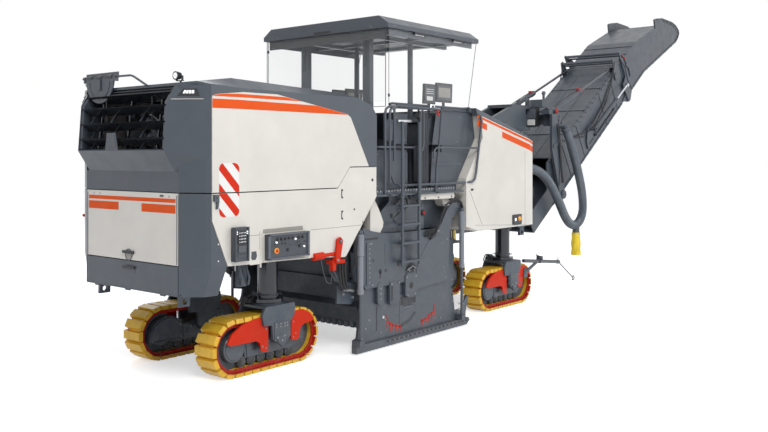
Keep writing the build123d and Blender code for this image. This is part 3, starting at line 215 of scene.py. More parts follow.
MATERIALS = {"white": painted("white_paint", colour(0.7, 0.665, 0.61), 0.34, 0.35, 0.1),
    "slate": painted("slate_paint", colour(0.056, 0.069, 0.087), 0.4, 0.15, 0.1),
    "slate_dark": painted("slate_paint_dark", colour(0.02, 0.026, 0.036), 0.45, 0.1, 0.1),
    "slate_frame": painted("slate_paint_frame", colour(0.059, 0.075, 0.099), 0.48, 0.05, 0.2),
    "orange": painted("orange_paint", colour(0.76, 0.088, 0.004), 0.45, 0.0, 0.01, shine=0.2),
    "red": painted("red_paint", colour(0.62, 0.024, 0.003), 0.45, 0.0, 0.03, shine=0.2),
    "signal_white": painted("signal_white", colour(0.8, 0.79, 0.77), 0.4, 0.2, 0.05),
    "steel": bare_metal("bare_steel", colour(0.3, 0.31, 0.33), 0.42), "chrome": bare_metal("hard_chrome",
    colour(0.8, 0.81, 0.83), 0.12), "cast": painted("cast_iron", colour(0.035, 0.038, 0.042), 0.62, 0.0, 0.3,
    1.0, 0.5), "pad_yellow": moulded("polyurethane_yellow", colour(0.66, 0.39, 0.022), 0.42, 240.0, 0.2),
    "chain_red": painted("chain_red", colour(0.42, 0.014, 0.006), 0.45, 0.0, 0.12, 0.7, shine=0.25),
    "black": moulded("black_plastic", colour(0.012, 0.013, 0.015), 0.5), "rubber": moulded("black_rubber",
    colour(0.018, 0.018, 0.02), 0.75, 500.0, 0.35), "hose": moulded("grey_duct", colour(0.085, 0.1, 0.12),
    0.38, 700.0, 0.15), "column": painted("column_paint", colour(0.022, 0.025, 0.031), 0.2, 0.4, 0.08,
    # lift rods: hard chrome with a dark base colour, a painted dark reflection
    metal=0.5), "chrome_painted_dark": bare_metal("chrome_painted_dark", colour(0.16, 0.17, 0.19), 0.22),
    "console": moulded("console_plastic", colour(0.04, 0.047, 0.057), 0.5), "seat": moulded("seat_leather",
    colour(0.02, 0.021, 0.024), 0.55, 420.0, 0.5), "sleeve": moulded("yellow_sleeve",
    colour(0.72, 0.52, 0.02), 0.6, 300.0, 0.2), "glass": clear_glass(), "amber": moulded("amber_lens",
    colour(0.8, 0.33, 0.02), 0.2, 200.0, 0.1), "lamp_white": glowing("lamp_white", colour(0.9, 0.92, 0.95),
    0.6), "screen": glowing("screen_face", colour(0.055, 0.062, 0.07), 0.3),
    # recess: darker copy of the white paint, painted shade for recesses and shaded faces
    "recess": painted("white_paint_shade", colour(0.3, 0.285, 0.25), 0.4, 0.2, 0.1),
    "cylinder": painted("cylinder_grey", colour(0.2, 0.215, 0.245), 0.36, 0.2, 0.15),
    "brass": bare_metal("brass", colour(0.62, 0.48, 0.16), 0.3), "trim_grey": moulded("grey_plastic",
    colour(0.09, 0.1, 0.12), 0.5),}

# CAD node -> material, with the numbered nodes by their first words
FINISH = {"hood_sides": "white", "rear_door": "white", "lower_panels": "white", "front_body": "white",
    "discharge_lower": "slate", "discharge_head": "slate", "main_frame": "slate_frame",
    "engine_block": "cast", "drum_housing": "slate_frame", "drum": "steel", "guide_plates": "slate",
    "side_plate_right": "slate", "side_plate_left": "slate", "plate_barrels": "slate",
    "scraper": "slate_frame", "scraper_barrels": "slate_frame", "corner_panels": "slate",
    "rear_flap": "slate", "hood_top": "slate", "hood_louvres": "column", "rear_lamps": "black",
    "loading_conveyor": "slate_frame", "platform": "slate", "canopy": "slate", "canopy_glass": "glass",
    "consoles": "console", "seat_frames": "slate", "seat_pads": "seat", "rails": "slate", "ladders": "slate",
    "front_mast": "slate", "swivel_tower": "slate", "lift_barrels": "slate", "fold_barrels": "slate",
    # the lift rods take chrome painted dark: a painted reflection
    "lift_rods": "chrome_painted_dark", "fold_rods": "chrome", "dust_hose": "hose", "control_panels": "console",
    "sensor_arm": "red", "column_": "column", "carriage_": "slate_frame", "track_": "pad_yellow",
    "fenders_": "red",}


def finish_nodes():
    for name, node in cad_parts.items():
        keys = [key for key in FINISH if name == key or (key.endswith("_") and name.startswith(key))]
        node.data.materials.clear()
        node.data.materials.append(MATERIALS[FINISH[keys[0]]])


finish_nodes()

# ---------------------------------------------------------------- mesh builder
OUT = (0, 1, 0)            # away from the machine's middle plane
SUNK = 0.001               # how far a plate is let into its face
FILM_CUT = 0.0004          # chamfer of paper-thin discs


def circle(middle, way, radius, sides):
    """Ring of points round a middle, square to a unit direction."""
    side = way.orthogonal().normalized()
    up = way.cross(side)
    return [middle + (side * math.cos(t) + up * math.sin(t)) * radius for t in turns_of(sides)]


def turns_of(count):
    """Even angles round a full turn."""
    return [2.0 * math.pi * k / count for k in range(count)]


class Piece:
    """One object made of simple closed forms, each in its own finish, riding on one body.

    Points are given for the left side; flip -1 mirrors what follows to the right."""

    def __init__(self, name, body, slot, finish, flip=1):
        self.name, self.body, self.slot, self.flip = name, body, slot, flip
        self.points, self.faces, self.marks, self.finishes = [], [], [], []
        self.paint(finish)

    def paint(self, finish):
        """Finish of what follows."""
        if finish not in self.finishes:
            self.finishes.append(finish)
        self.mark = self.finishes.index(finish)
        return self

    def at(self, point):
        return Vector((point[0], point[1] * self.flip, point[2]))

    def skin(self, rings, caps=True):
        """Closed skin through rings of as many finished points."""
        count, last, first = len(rings[0]), len(rings) - 1, len(self.points)
        self.points += [tuple(point) for ring in rings for point in ring]
        near = [(k, (k + 1) % count) for k in range(count)]
        faces = [(r + a, r + b, r + count + b, r + count + a)
            for r in range(0, last * count, count) for a, b in near]
        if caps:
            faces += [tuple(range(count)), tuple(range(last * count, (last + 1) * count))]
        else:
            faces += [(last * count + a, last * count + b, b, a) for a, b in near]
        self.faces += [[first + corner for corner in face] for face in faces]
        self.marks += [self.mark] * len(faces)

    def rings(self, rings):
        self.skin([[self.at(point) for point in ring] for ring in rings])

    def prism(self, outline, low, high, axis="y"):
        """Outline of (x, z) points along y, (x, y) along z or (y, z) along x."""
        place = {"x": lambda u, v, w: (w, u, v), "y": lambda u, v, w: (u, w, v), "z": lambda u, v,
            w: (u, v, w)}[axis]
        self.rings([[place(u, v, w) for u, v in outline] for w in (low, high)])

    def plate(self, face, thick, outline):
        """Prism on an outer face, let in by a millimetre so that nothing gapes."""
        self.prism(outline, face - SUNK, face + thick)

    def box(self, x, y, z):
        self.prism([(x[0], y[0]), (x[1], y[0]), (x[1], y[1]), (x[0], y[1])], z[0], z[1], "z")

    def panel(self, face, thick, x, z):
        """Box on an outer face, let in like a plate."""
        self.box(x, (face - SUNK, face + thick), z)

    def rod(self, start, end, radius, sides, far, cut):
        """Round bar between finished points."""
        way = (end - start).normalized()
        stops = ((start, radius - cut), (start + way * cut, radius), (end - way * cut, far), (end, far - cut))
        self.skin([circle(middle, way, size, sides) for middle, size in stops])

    def bar(self, start, end, radius, sides=20, far=None, cut=0.003):
        """Round bar with chamfered ends; far is the radius at its far end."""
        self.rod(self.at(start), self.at(end), radius, sides, radius if far is None else far, cut)

    def post(self, x, y, z, radius, sides=20, far=None, cut=0.003):
        """Upright bar."""
        self.bar((x, y, z[0]), (x, y, z[1]), radius, sides, far, cut)

    def beam(self, x, y, z, radius, sides=20, far=None, cut=0.003):
        """Bar along x."""
        self.bar((x[0], y, z), (x[1], y, z), radius, sides, far, cut)

    def disc(self, x, z, y, radius, sides=20, cut=0.003, far=None):
        """Short round bar along y."""
        self.bar((x, y[0], z), (x, y[1], z), radius, sides, far, cut)

    def tube(self, points, radius, sides=10, loop=False):
        self.pipe([self.at(point) for point in points], radius, sides, loop)

    def pipe(self, points, radius, sides, loop):
        """Round tube through finished points, mitred where they turn."""
        count = len(points)
        ways = []
        for k in range(count):
            before = points[k] - points[k - 1] if loop or k else points[1] - points[0]
            after = points[(k + 1) % count] - points[k] if loop or k < count - 1 else before
            ways.append((before.normalized() + after.normalized()).normalized())
        side = ways[0].orthogonal().normalized()
        rings = []
        for point, way in zip(points, ways):
            side = (side - way * side.dot(way)).normalized()
            up = way.cross(side)
            rings.append([point + (side * math.cos(t) + up * math.sin(t)) * radius for t in turns_of(sides)])
        self.skin(rings, caps=not loop)

    def route(self, y, places, radius, sides=8):
        """Tube through (x, z) places at one y."""
        self.tube([(x, y, z) for x, z in places], radius, sides)

    def hex_bolt(self, place, way, size):
        """Washer and hexagon head standing on a face."""
        place, way = self.at(place), self.at(way).normalized()
        self.rod(place, place + way * size * 0.3, size * 1.3, 14, size * 1.3, 0.001)
        self.rod(place + way * size * 0.25, place + way * size, size, 6, size, 0.0015)

    def bolts(self, y, size, *places):
        """Bolts at (x, z) places on an outer face."""
        for x, z in places:
            self.hex_bolt((x, y, z), OUT, size)

    def torus(self, middle, way, radius, thick, turns=28, sides=10):
        self.pipe(circle(self.at(middle), Vector(way).normalized(), radius, turns), thick, sides, True)

    def done(self, bevel):
        mesh = bpy.data.meshes.new(self.name)
        form = bmesh.new()
        corners = [form.verts.new(point) for point in self.points]
        for face, mark in zip(self.faces, self.marks):
            made = form.faces.new([corners[k] for k in face])
            made.material_index = mark
            made.smooth = True
        bmesh.ops.recalc_face_normals(form, faces=form.faces)
        form.to_mesh(mesh)
        form.free()
        for finish in self.finishes:
            mesh.materials.append(MATERIALS[finish])
        mesh.set_sharp_from_angle(angle=math.radians(40.0))
        piece = bpy.data.objects.new(self.name, mesh)
        scene.collection.objects.link(piece)
        if bevel:
            edge = piece.modifiers.new("edges", "BEVEL")
            edge.width = bevel
            edge.segments = 2
            edge.limit_method = "ANGLE"
            edge.angle_limit = math.radians(50.0)
            edge.harden_normals = True
            edge.use_clamp_overlap = True
        if self.body:
            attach(piece, self.body)
        return piece


def pair(name, body, slot, finish):
    """The right and the left piece of a pair."""
    for side, word in SIDE_NAME.items():
        yield Piece(f"{name}_{word}", body, slot, finish, side)


def both_sides(name, body, slot, finish, bevel):
    """Makes the pair at once, with the function that fills one piece."""
    def make(fill):
        for piece in pair(name, body, slot, finish):
            fill(piece)
            piece.done(bevel)
        return fill
    return make


def arc(middle, radius, start, end, steps):
    """Points of a flat arc, in degrees."""
    turns = [math.radians(start + (end - start) * k / steps) for k in range(steps + 1)]
    return [(middle[0] + radius * math.cos(t), middle[1] + radius * math.sin(t)) for t in turns]


def rounded(x, z, radius, steps=5):
    """Rectangle with round corners, from (low, high) pairs."""
    spots = ((x[1], z[1], 0), (x[0], z[1], 90), (x[0], z[0], 180), (x[1], z[0], 270))
    return [point for sx, sz, turn in spots for point in arc((sx - math.copysign(radius, sx - sum(x) / 2),
        sz - math.copysign(radius, sz - sum(z) / 2)), radius, turn, turn + 90, steps)]


def clip(outline, shape):
    """Part of an outline that lies inside a convex counter-clockwise shape."""
    for start, end in zip(shape, shape[1:] + shape[:1]):
        kept = []
        for first, second in zip(outline, outline[1:] + outline[:1]):
            a, b = ((end[0] - start[0]) * (p[1] - start[1]) - (end[1] - start[1]) * (p[0] - start[0])
                for p in (first, second))
            if a >= 0:
                kept.append(first)
            if a * b < 0:
                share = a / (a - b)
                kept.append(tuple(p + (q - p) * share for p, q in zip(first, second)))
        outline = kept
    return outline if len(outline) > 2 else []


# ---------------------------------------------------------------- sizes shared with the frame
# metres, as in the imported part: x forward, y left, z up
TAIL_X = -7.72             # rear face of the body
HALF = 1.25                # side planes of the body
CORNER_X = -7.54           # seam between the grey corner and the side panels
BEND = (-7.58, 1.15)       # plan of the corner's bend
CORNER_Y = 0.88
SIDE_FLAT_X = -7.2
SEAM_Z = 2.15
GRILLE_HALF = 0.82
LIP = (-7.87, 2.6)
BROW = (-7.83, 3.12)
CROWN = (-7.71, 3.315)
PROUD = 0.0012             # how far paint films stand out
COLUMNS = {"rear_right": (-6.253, -1), "rear_left": (-6.253, 1), "front_right": (-0.838, -1),
    "front_left": (-0.838, 1)}


def body_edge(x):
    """Half width of the rear body at x."""
    share = min(max((SIDE_FLAT_X - x) / (SIDE_FLAT_X - CORNER_X), 0.0), 1.0)
    return HALF - 0.05 * share


def side_band(piece, stations):
    """Film on a side panel through (x, low z, high z) stations."""
    piece.rings([[(x, body_edge(x) + y, z) for y, z in ((-0.002, low), (PROUD, low), (PROUD, high),
        (-0.002, high))] for x, low, high in stations])


# ---------------------------------------------------------------- rear body and hood


def make_stripes():
    """Orange lines along the hood: a thick one, a cream gap, a thin one, cut by the grey roof."""
    thick = [(-7.526, 3.05, 3.149), (SIDE_FLAT_X, 3.05, 3.149), (-5.99, 3.05, 3.14), (-5.47, 3.05, 3.063),
        (-5.44, 3.05, 3.058)]
    thin = [(-7.526, 3.176, 3.18), (-7.46, 3.176, 3.197), (-7.36, 3.176, 3.208), (SIDE_FLAT_X, 3.177, 3.214),
        (-6.5, 3.178, 3.214), (-6.25, 3.178, 3.18)]
    for stripes in pair("hood_stripes", "hood", "white_paint", "orange"):
        side_band(stripes, thick)
        side_band(stripes, thin)
        stripes.done(0.0)


make_stripes()


def hazard_patch(piece, outline, lift):
    """Outline of (x, z) points as a film on the side panel."""
    piece.rings([[(x, body_edge(x) + lift + y, z) for x, z in outline] for y in (-0.002, PROUD)])


def make_hazard_strips():
    """Red and white warning stripes beside the corner, parted at the seam below the hood."""
    x, z, pitch, fall = (-7.445, -7.199), (1.885, 2.464), 0.262, 1.175
    shape = rounded(x, z, 0.06)
    parts = (("hood", (SEAM_Z + 0.002, z[1] + 0.01)), ("chassis", (z[0] - 0.01, SEAM_Z - 0.014)))
    for side, word in SIDE_NAME.items():
        for body, (low, high) in parts:
            piece = Piece(f"hazard_strip_{body}_{word}", body, "white_paint", "signal_white", side)
            half = [(x[0] - 1, low), (x[1] + 1, low), (x[1] + 1, high), (x[0] - 1, high)]
            patch = clip(shape, half)
            hazard_patch(piece, patch, 0.0005)
            piece.paint("red")
            for k in range(-3, 4):
                foot = 2.124 + k * pitch
                band = [(x[0], foot), (x[1], foot - fall * (x[1] - x[0])),
                    (x[1], foot + pitch * 0.47 - fall * (x[1] - x[0])), (x[0], foot + pitch * 0.47)]
                part = clip(band, patch)
                if part:
                    hazard_patch(piece, part, 0.0016)
            piece.done(0.0)


make_hazard_strips()


def cheek_point(share, z, out):
    """Point on the slanted cheek beside the grille: share 0 at the grille, 1 at the corner."""
    if z > BROW[1]:
        near_x = BROW[0] + (CROWN[0] - BROW[0]) * (z - BROW[1]) / (CROWN[1] - BROW[1])
    else:
        near_x = LIP[0] + (BROW[0] - LIP[0]) * (z - LIP[1]) / (BROW[1] - LIP[1])
    x = near_x + (BEND[0] - near_x) * share
    return x - out, GRILLE_HALF + (BEND[1] - GRILLE_HALF) * share + out * 0.6, z


def make_corner_lights():
    """Four small white lamps in a dark recess on each corner, over a small ledge whose white paint is a
    painted highlight.
    """
    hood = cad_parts["hood_top"].data
    skin = BVHTree.FromPolygons([vertex.co for vertex in hood.vertices],
        [tuple(face.vertices) for face in hood.polygons])
    for lights in pair("corner_lights", "hood", "trim", "black"):
        inward = lights.at((1.0, -0.6, 0.0)).normalized()

        def plate(low, high, z_low, z_high, out, narrow=0.0):
            ring = []
            corners = ((low, z_low), (high, z_low), (high - narrow, z_high), (low + narrow, z_high))
            for share, z in corners:
                x, y, z = cheek_point(share, z, 0.3)
                ring.append(skin.ray_cast(lights.at((x, y, z)), inward)[0])
            lights.skin([[point + inward * 0.01 for point in ring], [point - inward * out for point in ring]])

        plate(0.24, 0.86, 3.175, 3.255, 0.006, 0.09)
        lights.paint("lamp_white")
        for k in range(4):
            plate(0.39 + k * 0.082, 0.45 + k * 0.082, 3.202, 3.236, 0.011)
        # thin ledge in white paint: a painted highlight along its edge
        lights.paint("white")
        plate(0.1, 0.96, 3.14, 3.147, 0.008)
        lights.done(0.001)


make_corner_lights()


def make_grille_parts():
    """What shows through and above the louvres: cooler, fan, struts, top slots and side rods."""
    cooler = Piece("cooler", "chassis", "cast", "cast")
    cooler.box((-7.36, -7.28), (-0.62, 0.62), (2.3, 3.12))
    cooler.paint("black")
    for k in range(40):
        y = -0.6 + k * 1.2 / 39
        cooler.box((-7.372, -7.36), (y - 0.004, y + 0.004), (2.33, 3.09))
    cooler.paint("cast")
    for z in (2.31, 3.09):
        cooler.disc(-7.4, z, (-0.62, 0.62), 0.045)
    for y, z in ((-0.32, 2.8), (0.34, 2.72)):
        cooler.torus((-7.42, y, z), (1, 0, 0), 0.22, 0.022)
        cooler.beam((-7.47, -7.38), y, z, 0.06)
        for k in range(7):
            turn = 2 * math.pi * k / 7
            way = Vector((0, math.cos(turn), math.sin(turn)))
            cross = Vector((0.02, -math.sin(turn) * 0.045, math.cos(turn) * 0.045))
            near, far = Vector((-7.43, y, z)) + way * 0.05, Vector((-7.43, y, z)) + way * 0.2
            cooler.rings([[near - cross, near + cross * 0.8, far + cross * 1.3, far - cross],
                [p + Vector((0.006, 0, 0)) for p in (near - cross, near + cross * 0.8, far + cross * 1.3,
                far - cross)]])
    cooler.done(0.002)

    parts = Piece("intake_parts", "chassis", "steel", "steel")
    parts.tube([(-7.42, -0.1, 2.55), (-7.47, -0.12, 2.86), (-7.47, -0.3, 2.98), (-7.43, -0.52, 3.02)], 0.035)
    parts.tube([(-7.42, 0.2, 3.02), (-7.48, 0.02, 3.06), (-7.46, -0.2, 2.93)], 0.022)
    parts.paint("slate").bar((-7.5, -0.05, 2.93), (-7.4, -0.3, 2.86), 0.075, far=0.03)
    parts.bar((-7.47, -0.02, 2.76), (-7.42, -0.2, 2.72), 0.055, far=0.08)
    parts.torus((-7.49, 0.3, 3.05), (1, 0.2, 0), 0.06, 0.014)
    parts.torus((-7.5, -0.14, 2.72), (1, 0.1, 0.3), 0.055, 0.012)
    parts.done(0.002)

    trim = Piece("grille_trim", "hood", "grey_paint", "slate_dark")
    # three slots under the roof's rear edge, and the deep crossbar below them, in dark slate and black:
    # painted shade inside the hood
    for z, x in ((3.292, -7.7), (3.262, -7.722), (3.232, -7.742)):
        trim.box((x, x + 0.05), (-GRILLE_HALF, GRILLE_HALF), (z, z + 0.011))
    trim.paint("black").box((-7.66, -7.64), (-GRILLE_HALF, GRILLE_HALF), (3.2, 3.3))
    trim.paint("slate_dark")
    for y in (-0.3, 0.26, 0.66):
        for low, high in ((2.62, 2.73), (2.74, 2.9), (2.92, 3.08)):
            trim.prism([(-7.8, low), (-7.775, low), (-7.66, high), (-7.685, high)], y - 0.012, y + 0.012)
    trim.paint("cast")
    for y in (-0.46, 0.42):
        trim.bar((-7.75, y, 2.63), (-7.73, y + 0.03, 3.2), 0.007, 10)
    # bare bracket on the lowest blade
    trim.paint("slate").prism([(0.02, 2.6), (0.27, 2.6), (0.235, 2.8), (0.065, 2.8)], -7.865, -7.855, "x")
    trim.prism([(0.05, 2.64), (0.24, 2.64), (0.215, 2.78), (0.08, 2.78)], -7.869, -7.8645, "x")
    # inner side walls of the opening
    for trim.flip in SIDES:
        wall = (GRILLE_HALF - 0.045, GRILLE_HALF - 0.002)
        trim.prism([(LIP[0] + 0.02, LIP[1] + 0.02), (BROW[0] + 0.012, BROW[1]), (CROWN[0] + 0.01, 3.29),
            (-7.62, 3.29), (-7.62, 2.62)], *wall)
        for z in (2.7, 2.88, 3.05):
            trim.hex_bolt((-7.7, GRILLE_HALF - 0.046, z), (0, -1, 0), 0.008)
    trim.done(0.0015)


make_grille_parts()


def make_roof_flap():
    """Rain flap of the exhaust: half disc on a hinge rod, with its bent stay."""
    flap = Piece("exhaust_flap", "hood", "grey_paint", "slate")
    hinge = (-7.735, 3.455)
    mid_y, radius = 0.565, 0.285
    disc = [(mid_y - 0.32, hinge[1] - 0.01), (mid_y + 0.32, hinge[1] - 0.01)]
    disc += arc((mid_y, hinge[1] - 0.02), radius, -5, -175, 18)
    flap.prism(disc, hinge[0] - 0.012, hinge[0] + 0.006, "x")
    flap.prism([(mid_y - 0.33, hinge[1] - 0.015), (mid_y + 0.33, hinge[1] - 0.015),
        (mid_y + 0.33, hinge[1] + 0.055), (mid_y - 0.33, hinge[1] + 0.055)], hinge[0] + 0.02,
        hinge[0] + 0.032, "x")
    inner = arc((mid_y, hinge[1] - 0.05), radius * 0.72, 0, -180, 16)
    for a, b in zip(inner[:-1], inner[1:]):
        flap.tube([(hinge[0] - 0.014, *a), (hinge[0] - 0.014, *b)], 0.006, 6)
    flap.box((hinge[0] - 0.03, hinge[0] - 0.012), (mid_y - 0.03, mid_y + 0.03), (3.3, 3.43))
    flap.paint("slate_dark").disc(hinge[0], hinge[1], (mid_y - 0.36, mid_y + 0.36), 0.016)
    for y in (mid_y - 0.2, mid_y, mid_y + 0.2):
        flap.disc(hinge[0], hinge[1], (y - 0.05, y + 0.05), 0.024)
    flap.paint("slate").tube([(hinge[0], 0.24, 3.452), (hinge[0], -0.04, 3.448), (hinge[0], -0.1, 3.43),
        (hinge[0] + 0.01, -0.33, 3.318)], 0.013, 12)
    for y in (mid_y - 0.31, mid_y + 0.31):
        flap.box((hinge[0] - 0.02, hinge[0] + 0.03), (y - 0.012, y + 0.012), (3.4, 3.475))
    flap.done(0.002)


make_roof_flap()


def make_rear_lamps():
    """The two work lamps over the rear corners: stalk, bracket, finned housing, rim and lens."""
    z = 3.398
    for lamp in pair("rear_lamp", "hood", "trim", "black"):
        y = 0.84
        lamp.post(-7.66, y, (3.3, 3.352), 0.011, 14)
        lamp.beam((-7.728, -7.664), y, z, 0.042, 28, far=0.032, cut=0.004)
        lamp.torus((-7.73, y, z), (1, 0, 0), 0.042, 0.005)
        for k in range(5):
            lamp.torus((-7.712 + k * 0.01, y, z), (1, 0, 0), 0.042 - k * 0.0018, 0.0025)
        for shift in (-0.049, 0.044):
            lamp.prism([(-7.69, 3.345), (-7.66, 3.345), (-7.66, 3.4), (-7.68, 3.4)], y + shift,
                y + shift + 0.005)
        lamp.box((-7.69, -7.65), (y - 0.049, y + 0.049), (3.343, 3.35))
        lamp.paint("signal_white").beam((-7.735, -7.727), y, z, 0.037, 28)
        lamp.paint("lamp_white")
        for k in range(6):
            turn = math.pi * k / 3
            lamp.beam((-7.738, -7.733), y + 0.02 * math.cos(turn), z + 0.02 * math.sin(turn), 0.008, 12,
                cut=0.001)
        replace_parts(lamp.done(0.001), "rear_lamps")


make_rear_lamps()


def make_rear_door_trim():
    door = Piece("rear_door_trim", "rear_door", "white_paint", "orange")
    face = (TAIL_X - PROUD, TAIL_X + 0.004)
    half = CORNER_Y - 0.05
    door.box(face, (-half, half), (2.036, 2.08))
    for low, high in ((-half, -0.22), (0.22, half)):
        door.box(face, (low, high), (1.922, 2.014))
    # flush latch: round bowl in the darker copy of the white paint, painted shade, with a folding grip
    door.paint("recess").beam((TAIL_X - 0.004, TAIL_X + 0.01), 0.02, 1.425, 0.06, 28)
    door.paint("black").beam((TAIL_X - 0.01, TAIL_X - 0.002), -0.055, 1.452, 0.022, 20)
    door.prism([(-0.09, 1.436), (0.12, 1.44), (0.13, 1.468), (-0.09, 1.472)], TAIL_X - 0.02, TAIL_X - 0.008,
        "x")
    door.paint("trim_grey").torus((TAIL_X - 0.003, 0.02, 1.425), (1, 0, 0), 0.062, 0.006)
    # folded edges and hinge screws
    for y in (-CORNER_Y + 0.022, CORNER_Y - 0.034):
        door.box((TAIL_X - 0.003, TAIL_X + 0.004), (y, y + 0.012), (1.375, 2.116))
    door.paint("steel")
    for y in (-0.72, -0.6, 0.6, 0.72):
        door.hex_bolt((TAIL_X, y, 2.102), (-1, 0, 0), 0.007)
    door.paint("black").box((TAIL_X - 0.006, TAIL_X + 0.004), (-0.62, -0.56), (2.098, 2.116))
    door.done(0.001)

    flap = Piece("rear_flap_trim", "rear_flap", "grey_paint", "black")
    flap.prism([(-0.1, 1.268), (0.12, 1.268), (0.13, 1.292), (0.05, 1.305), (-0.1, 1.3)], TAIL_X - 0.018,
        TAIL_X + 0.002, "x")
    flap.paint("slate").beam((TAIL_X - 0.004, TAIL_X + 0.01), -0.06, 1.262, 0.045, 24)
    flap.box((TAIL_X - 0.004, TAIL_X + 0.006), (-0.86, 0.86), (1.036, 1.048))
    for y in (-0.6, 0.05, 0.66):
        flap.prism([(y - 0.05, 1.044), (y + 0.05, 1.044), (y + 0.04, 1.018), (y - 0.04, 1.018)],
            TAIL_X + 0.002, TAIL_X + 0.012, "x")
        flap.disc(TAIL_X + 0.006, 1.03, (y - 0.05, y + 0.05), 0.008, 12)
    flap.done(0.0015)


make_rear_door_trim()


def make_corner_trim():
    trim = Piece("corner_trim", "chassis", "grey_paint", "signal_white")
    for trim.flip in SIDES:
        for x, z in ((-7.455, 1.6), (-7.455, 1.42)):
            trim.disc(x, z, (body_edge(x) - 0.002, body_edge(x) + 0.004), 0.009, 12, cut=0.001)
    # short red lever on the left side
    trim.paint("red").bar((-7.5, 1.2, 1.78), (-7.5, 1.3, 1.8), 0.01, 12)
    trim.bar((-7.5, 1.285, 1.797), (-7.5, 1.312, 1.802), 0.017, 12)
    # black seal lines along the upper edge of the corner, the door and the flap
    trim.paint("black").box((TAIL_X + 0.023, TAIL_X + 0.036), (-CORNER_Y, CORNER_Y),
        (SEAM_Z - 0.012, SEAM_Z + 0.002))
    trim.done(0.001)


make_corner_trim()


@both_sides("panel_trim", "chassis", "white_paint", "white", 0.001)
def side_trim(trim):
    """Latch slots, seams, screws, folded front edge and brackets on the lower side panels."""
    # folded slanting front edge
    trim.rings([[(x + dx, yy, z) for dx, yy in ((0.004, 1.25), (0.004, 1.222), (0.062, 1.205), (0.066, 1.214),
        (0.018, 1.232), (0.016, 1.25))] for x, z in ((-4.87, 2.03), (-5.48, 1.29))])
    # plate with its hole that hangs from the panel
    hanger = [(-7.075, 1.5), (-6.885, 1.5), (-6.885, 1.365), (-6.91, 1.34), (-7.04, 1.34), (-7.075, 1.375)]
    trim.prism(hanger, HALF + PROUD, HALF + 0.006)
    trim.box((-6.9, -6.885), (HALF - SUNK, HALF + 0.012), (1.3, 1.7))
    # lip of the control recess
    trim.prism([(-6.855, 1.356), (-6.115, 1.332), (-6.115, 1.344), (-6.855, 1.37)], HALF, HALF + 0.026)
    # the hanger's hole as a dark film: painted shade
    trim.paint("console").prism([(-7.025, 1.487), (-6.955, 1.487), (-6.945, 1.43), (-6.965, 1.392),
        (-7.015, 1.392), (-7.03, 1.415)], HALF + 0.006, HALF + 0.0075)
    # slanting film of painted shade, in the darker copy of the white paint, in the recess over the panel
    trim.paint("recess").plate(HALF, PROUD, [(-6.85, 1.672), (-6.215, 1.672), (-6.225, 1.722), (-6.85, 1.72)])
    # latch slots drawn as black films: painted shade inside them
    trim.paint("black")
    for z_low, z_high in ((2.018, 2.128), (1.758, 1.864)):
        trim.plate(HALF, PROUD, [(-5.548, z_low), (-5.534, z_low), (-5.53, z_low + 0.012), (-5.534, z_high),
            (-5.528, z_high), (-5.548, z_high)])
        for z in (z_low + 0.006, z_high - 0.012):
            trim.disc(-5.526, z, (HALF - SUNK, HALF + 0.003), 0.012, 12, cut=0.001)
    for x, z, size in ((-4.95, 2.229, 0.02), (-5.305, 1.868, 0.013), (-5.14, 1.7, 0.01)):
        trim.disc(x, z, (HALF - SUNK, HALF + 0.003), size, 14, cut=0.001)
    # fine seam between the upper and the lower plate
    for low, high in ((-7.28, -6.86), (-6.1, -5.18)):
        trim.box((low, high), (HALF - SUNK, HALF + 0.0006), (1.66, 1.664))
    # grey hinge piece beside the warning stripes
    trim.paint("slate").prism([(-7.52, 2.128), (-7.458, 2.128), (-7.458, 2.052), (-7.475, 1.975),
        (-7.49, 1.975), (-7.484, 2.052), (-7.52, 2.06)], 1.196, 1.236)
    trim.paint("black").disc(-7.49, 2.095, (1.234, 1.238), 0.011, 12, cut=0.001)


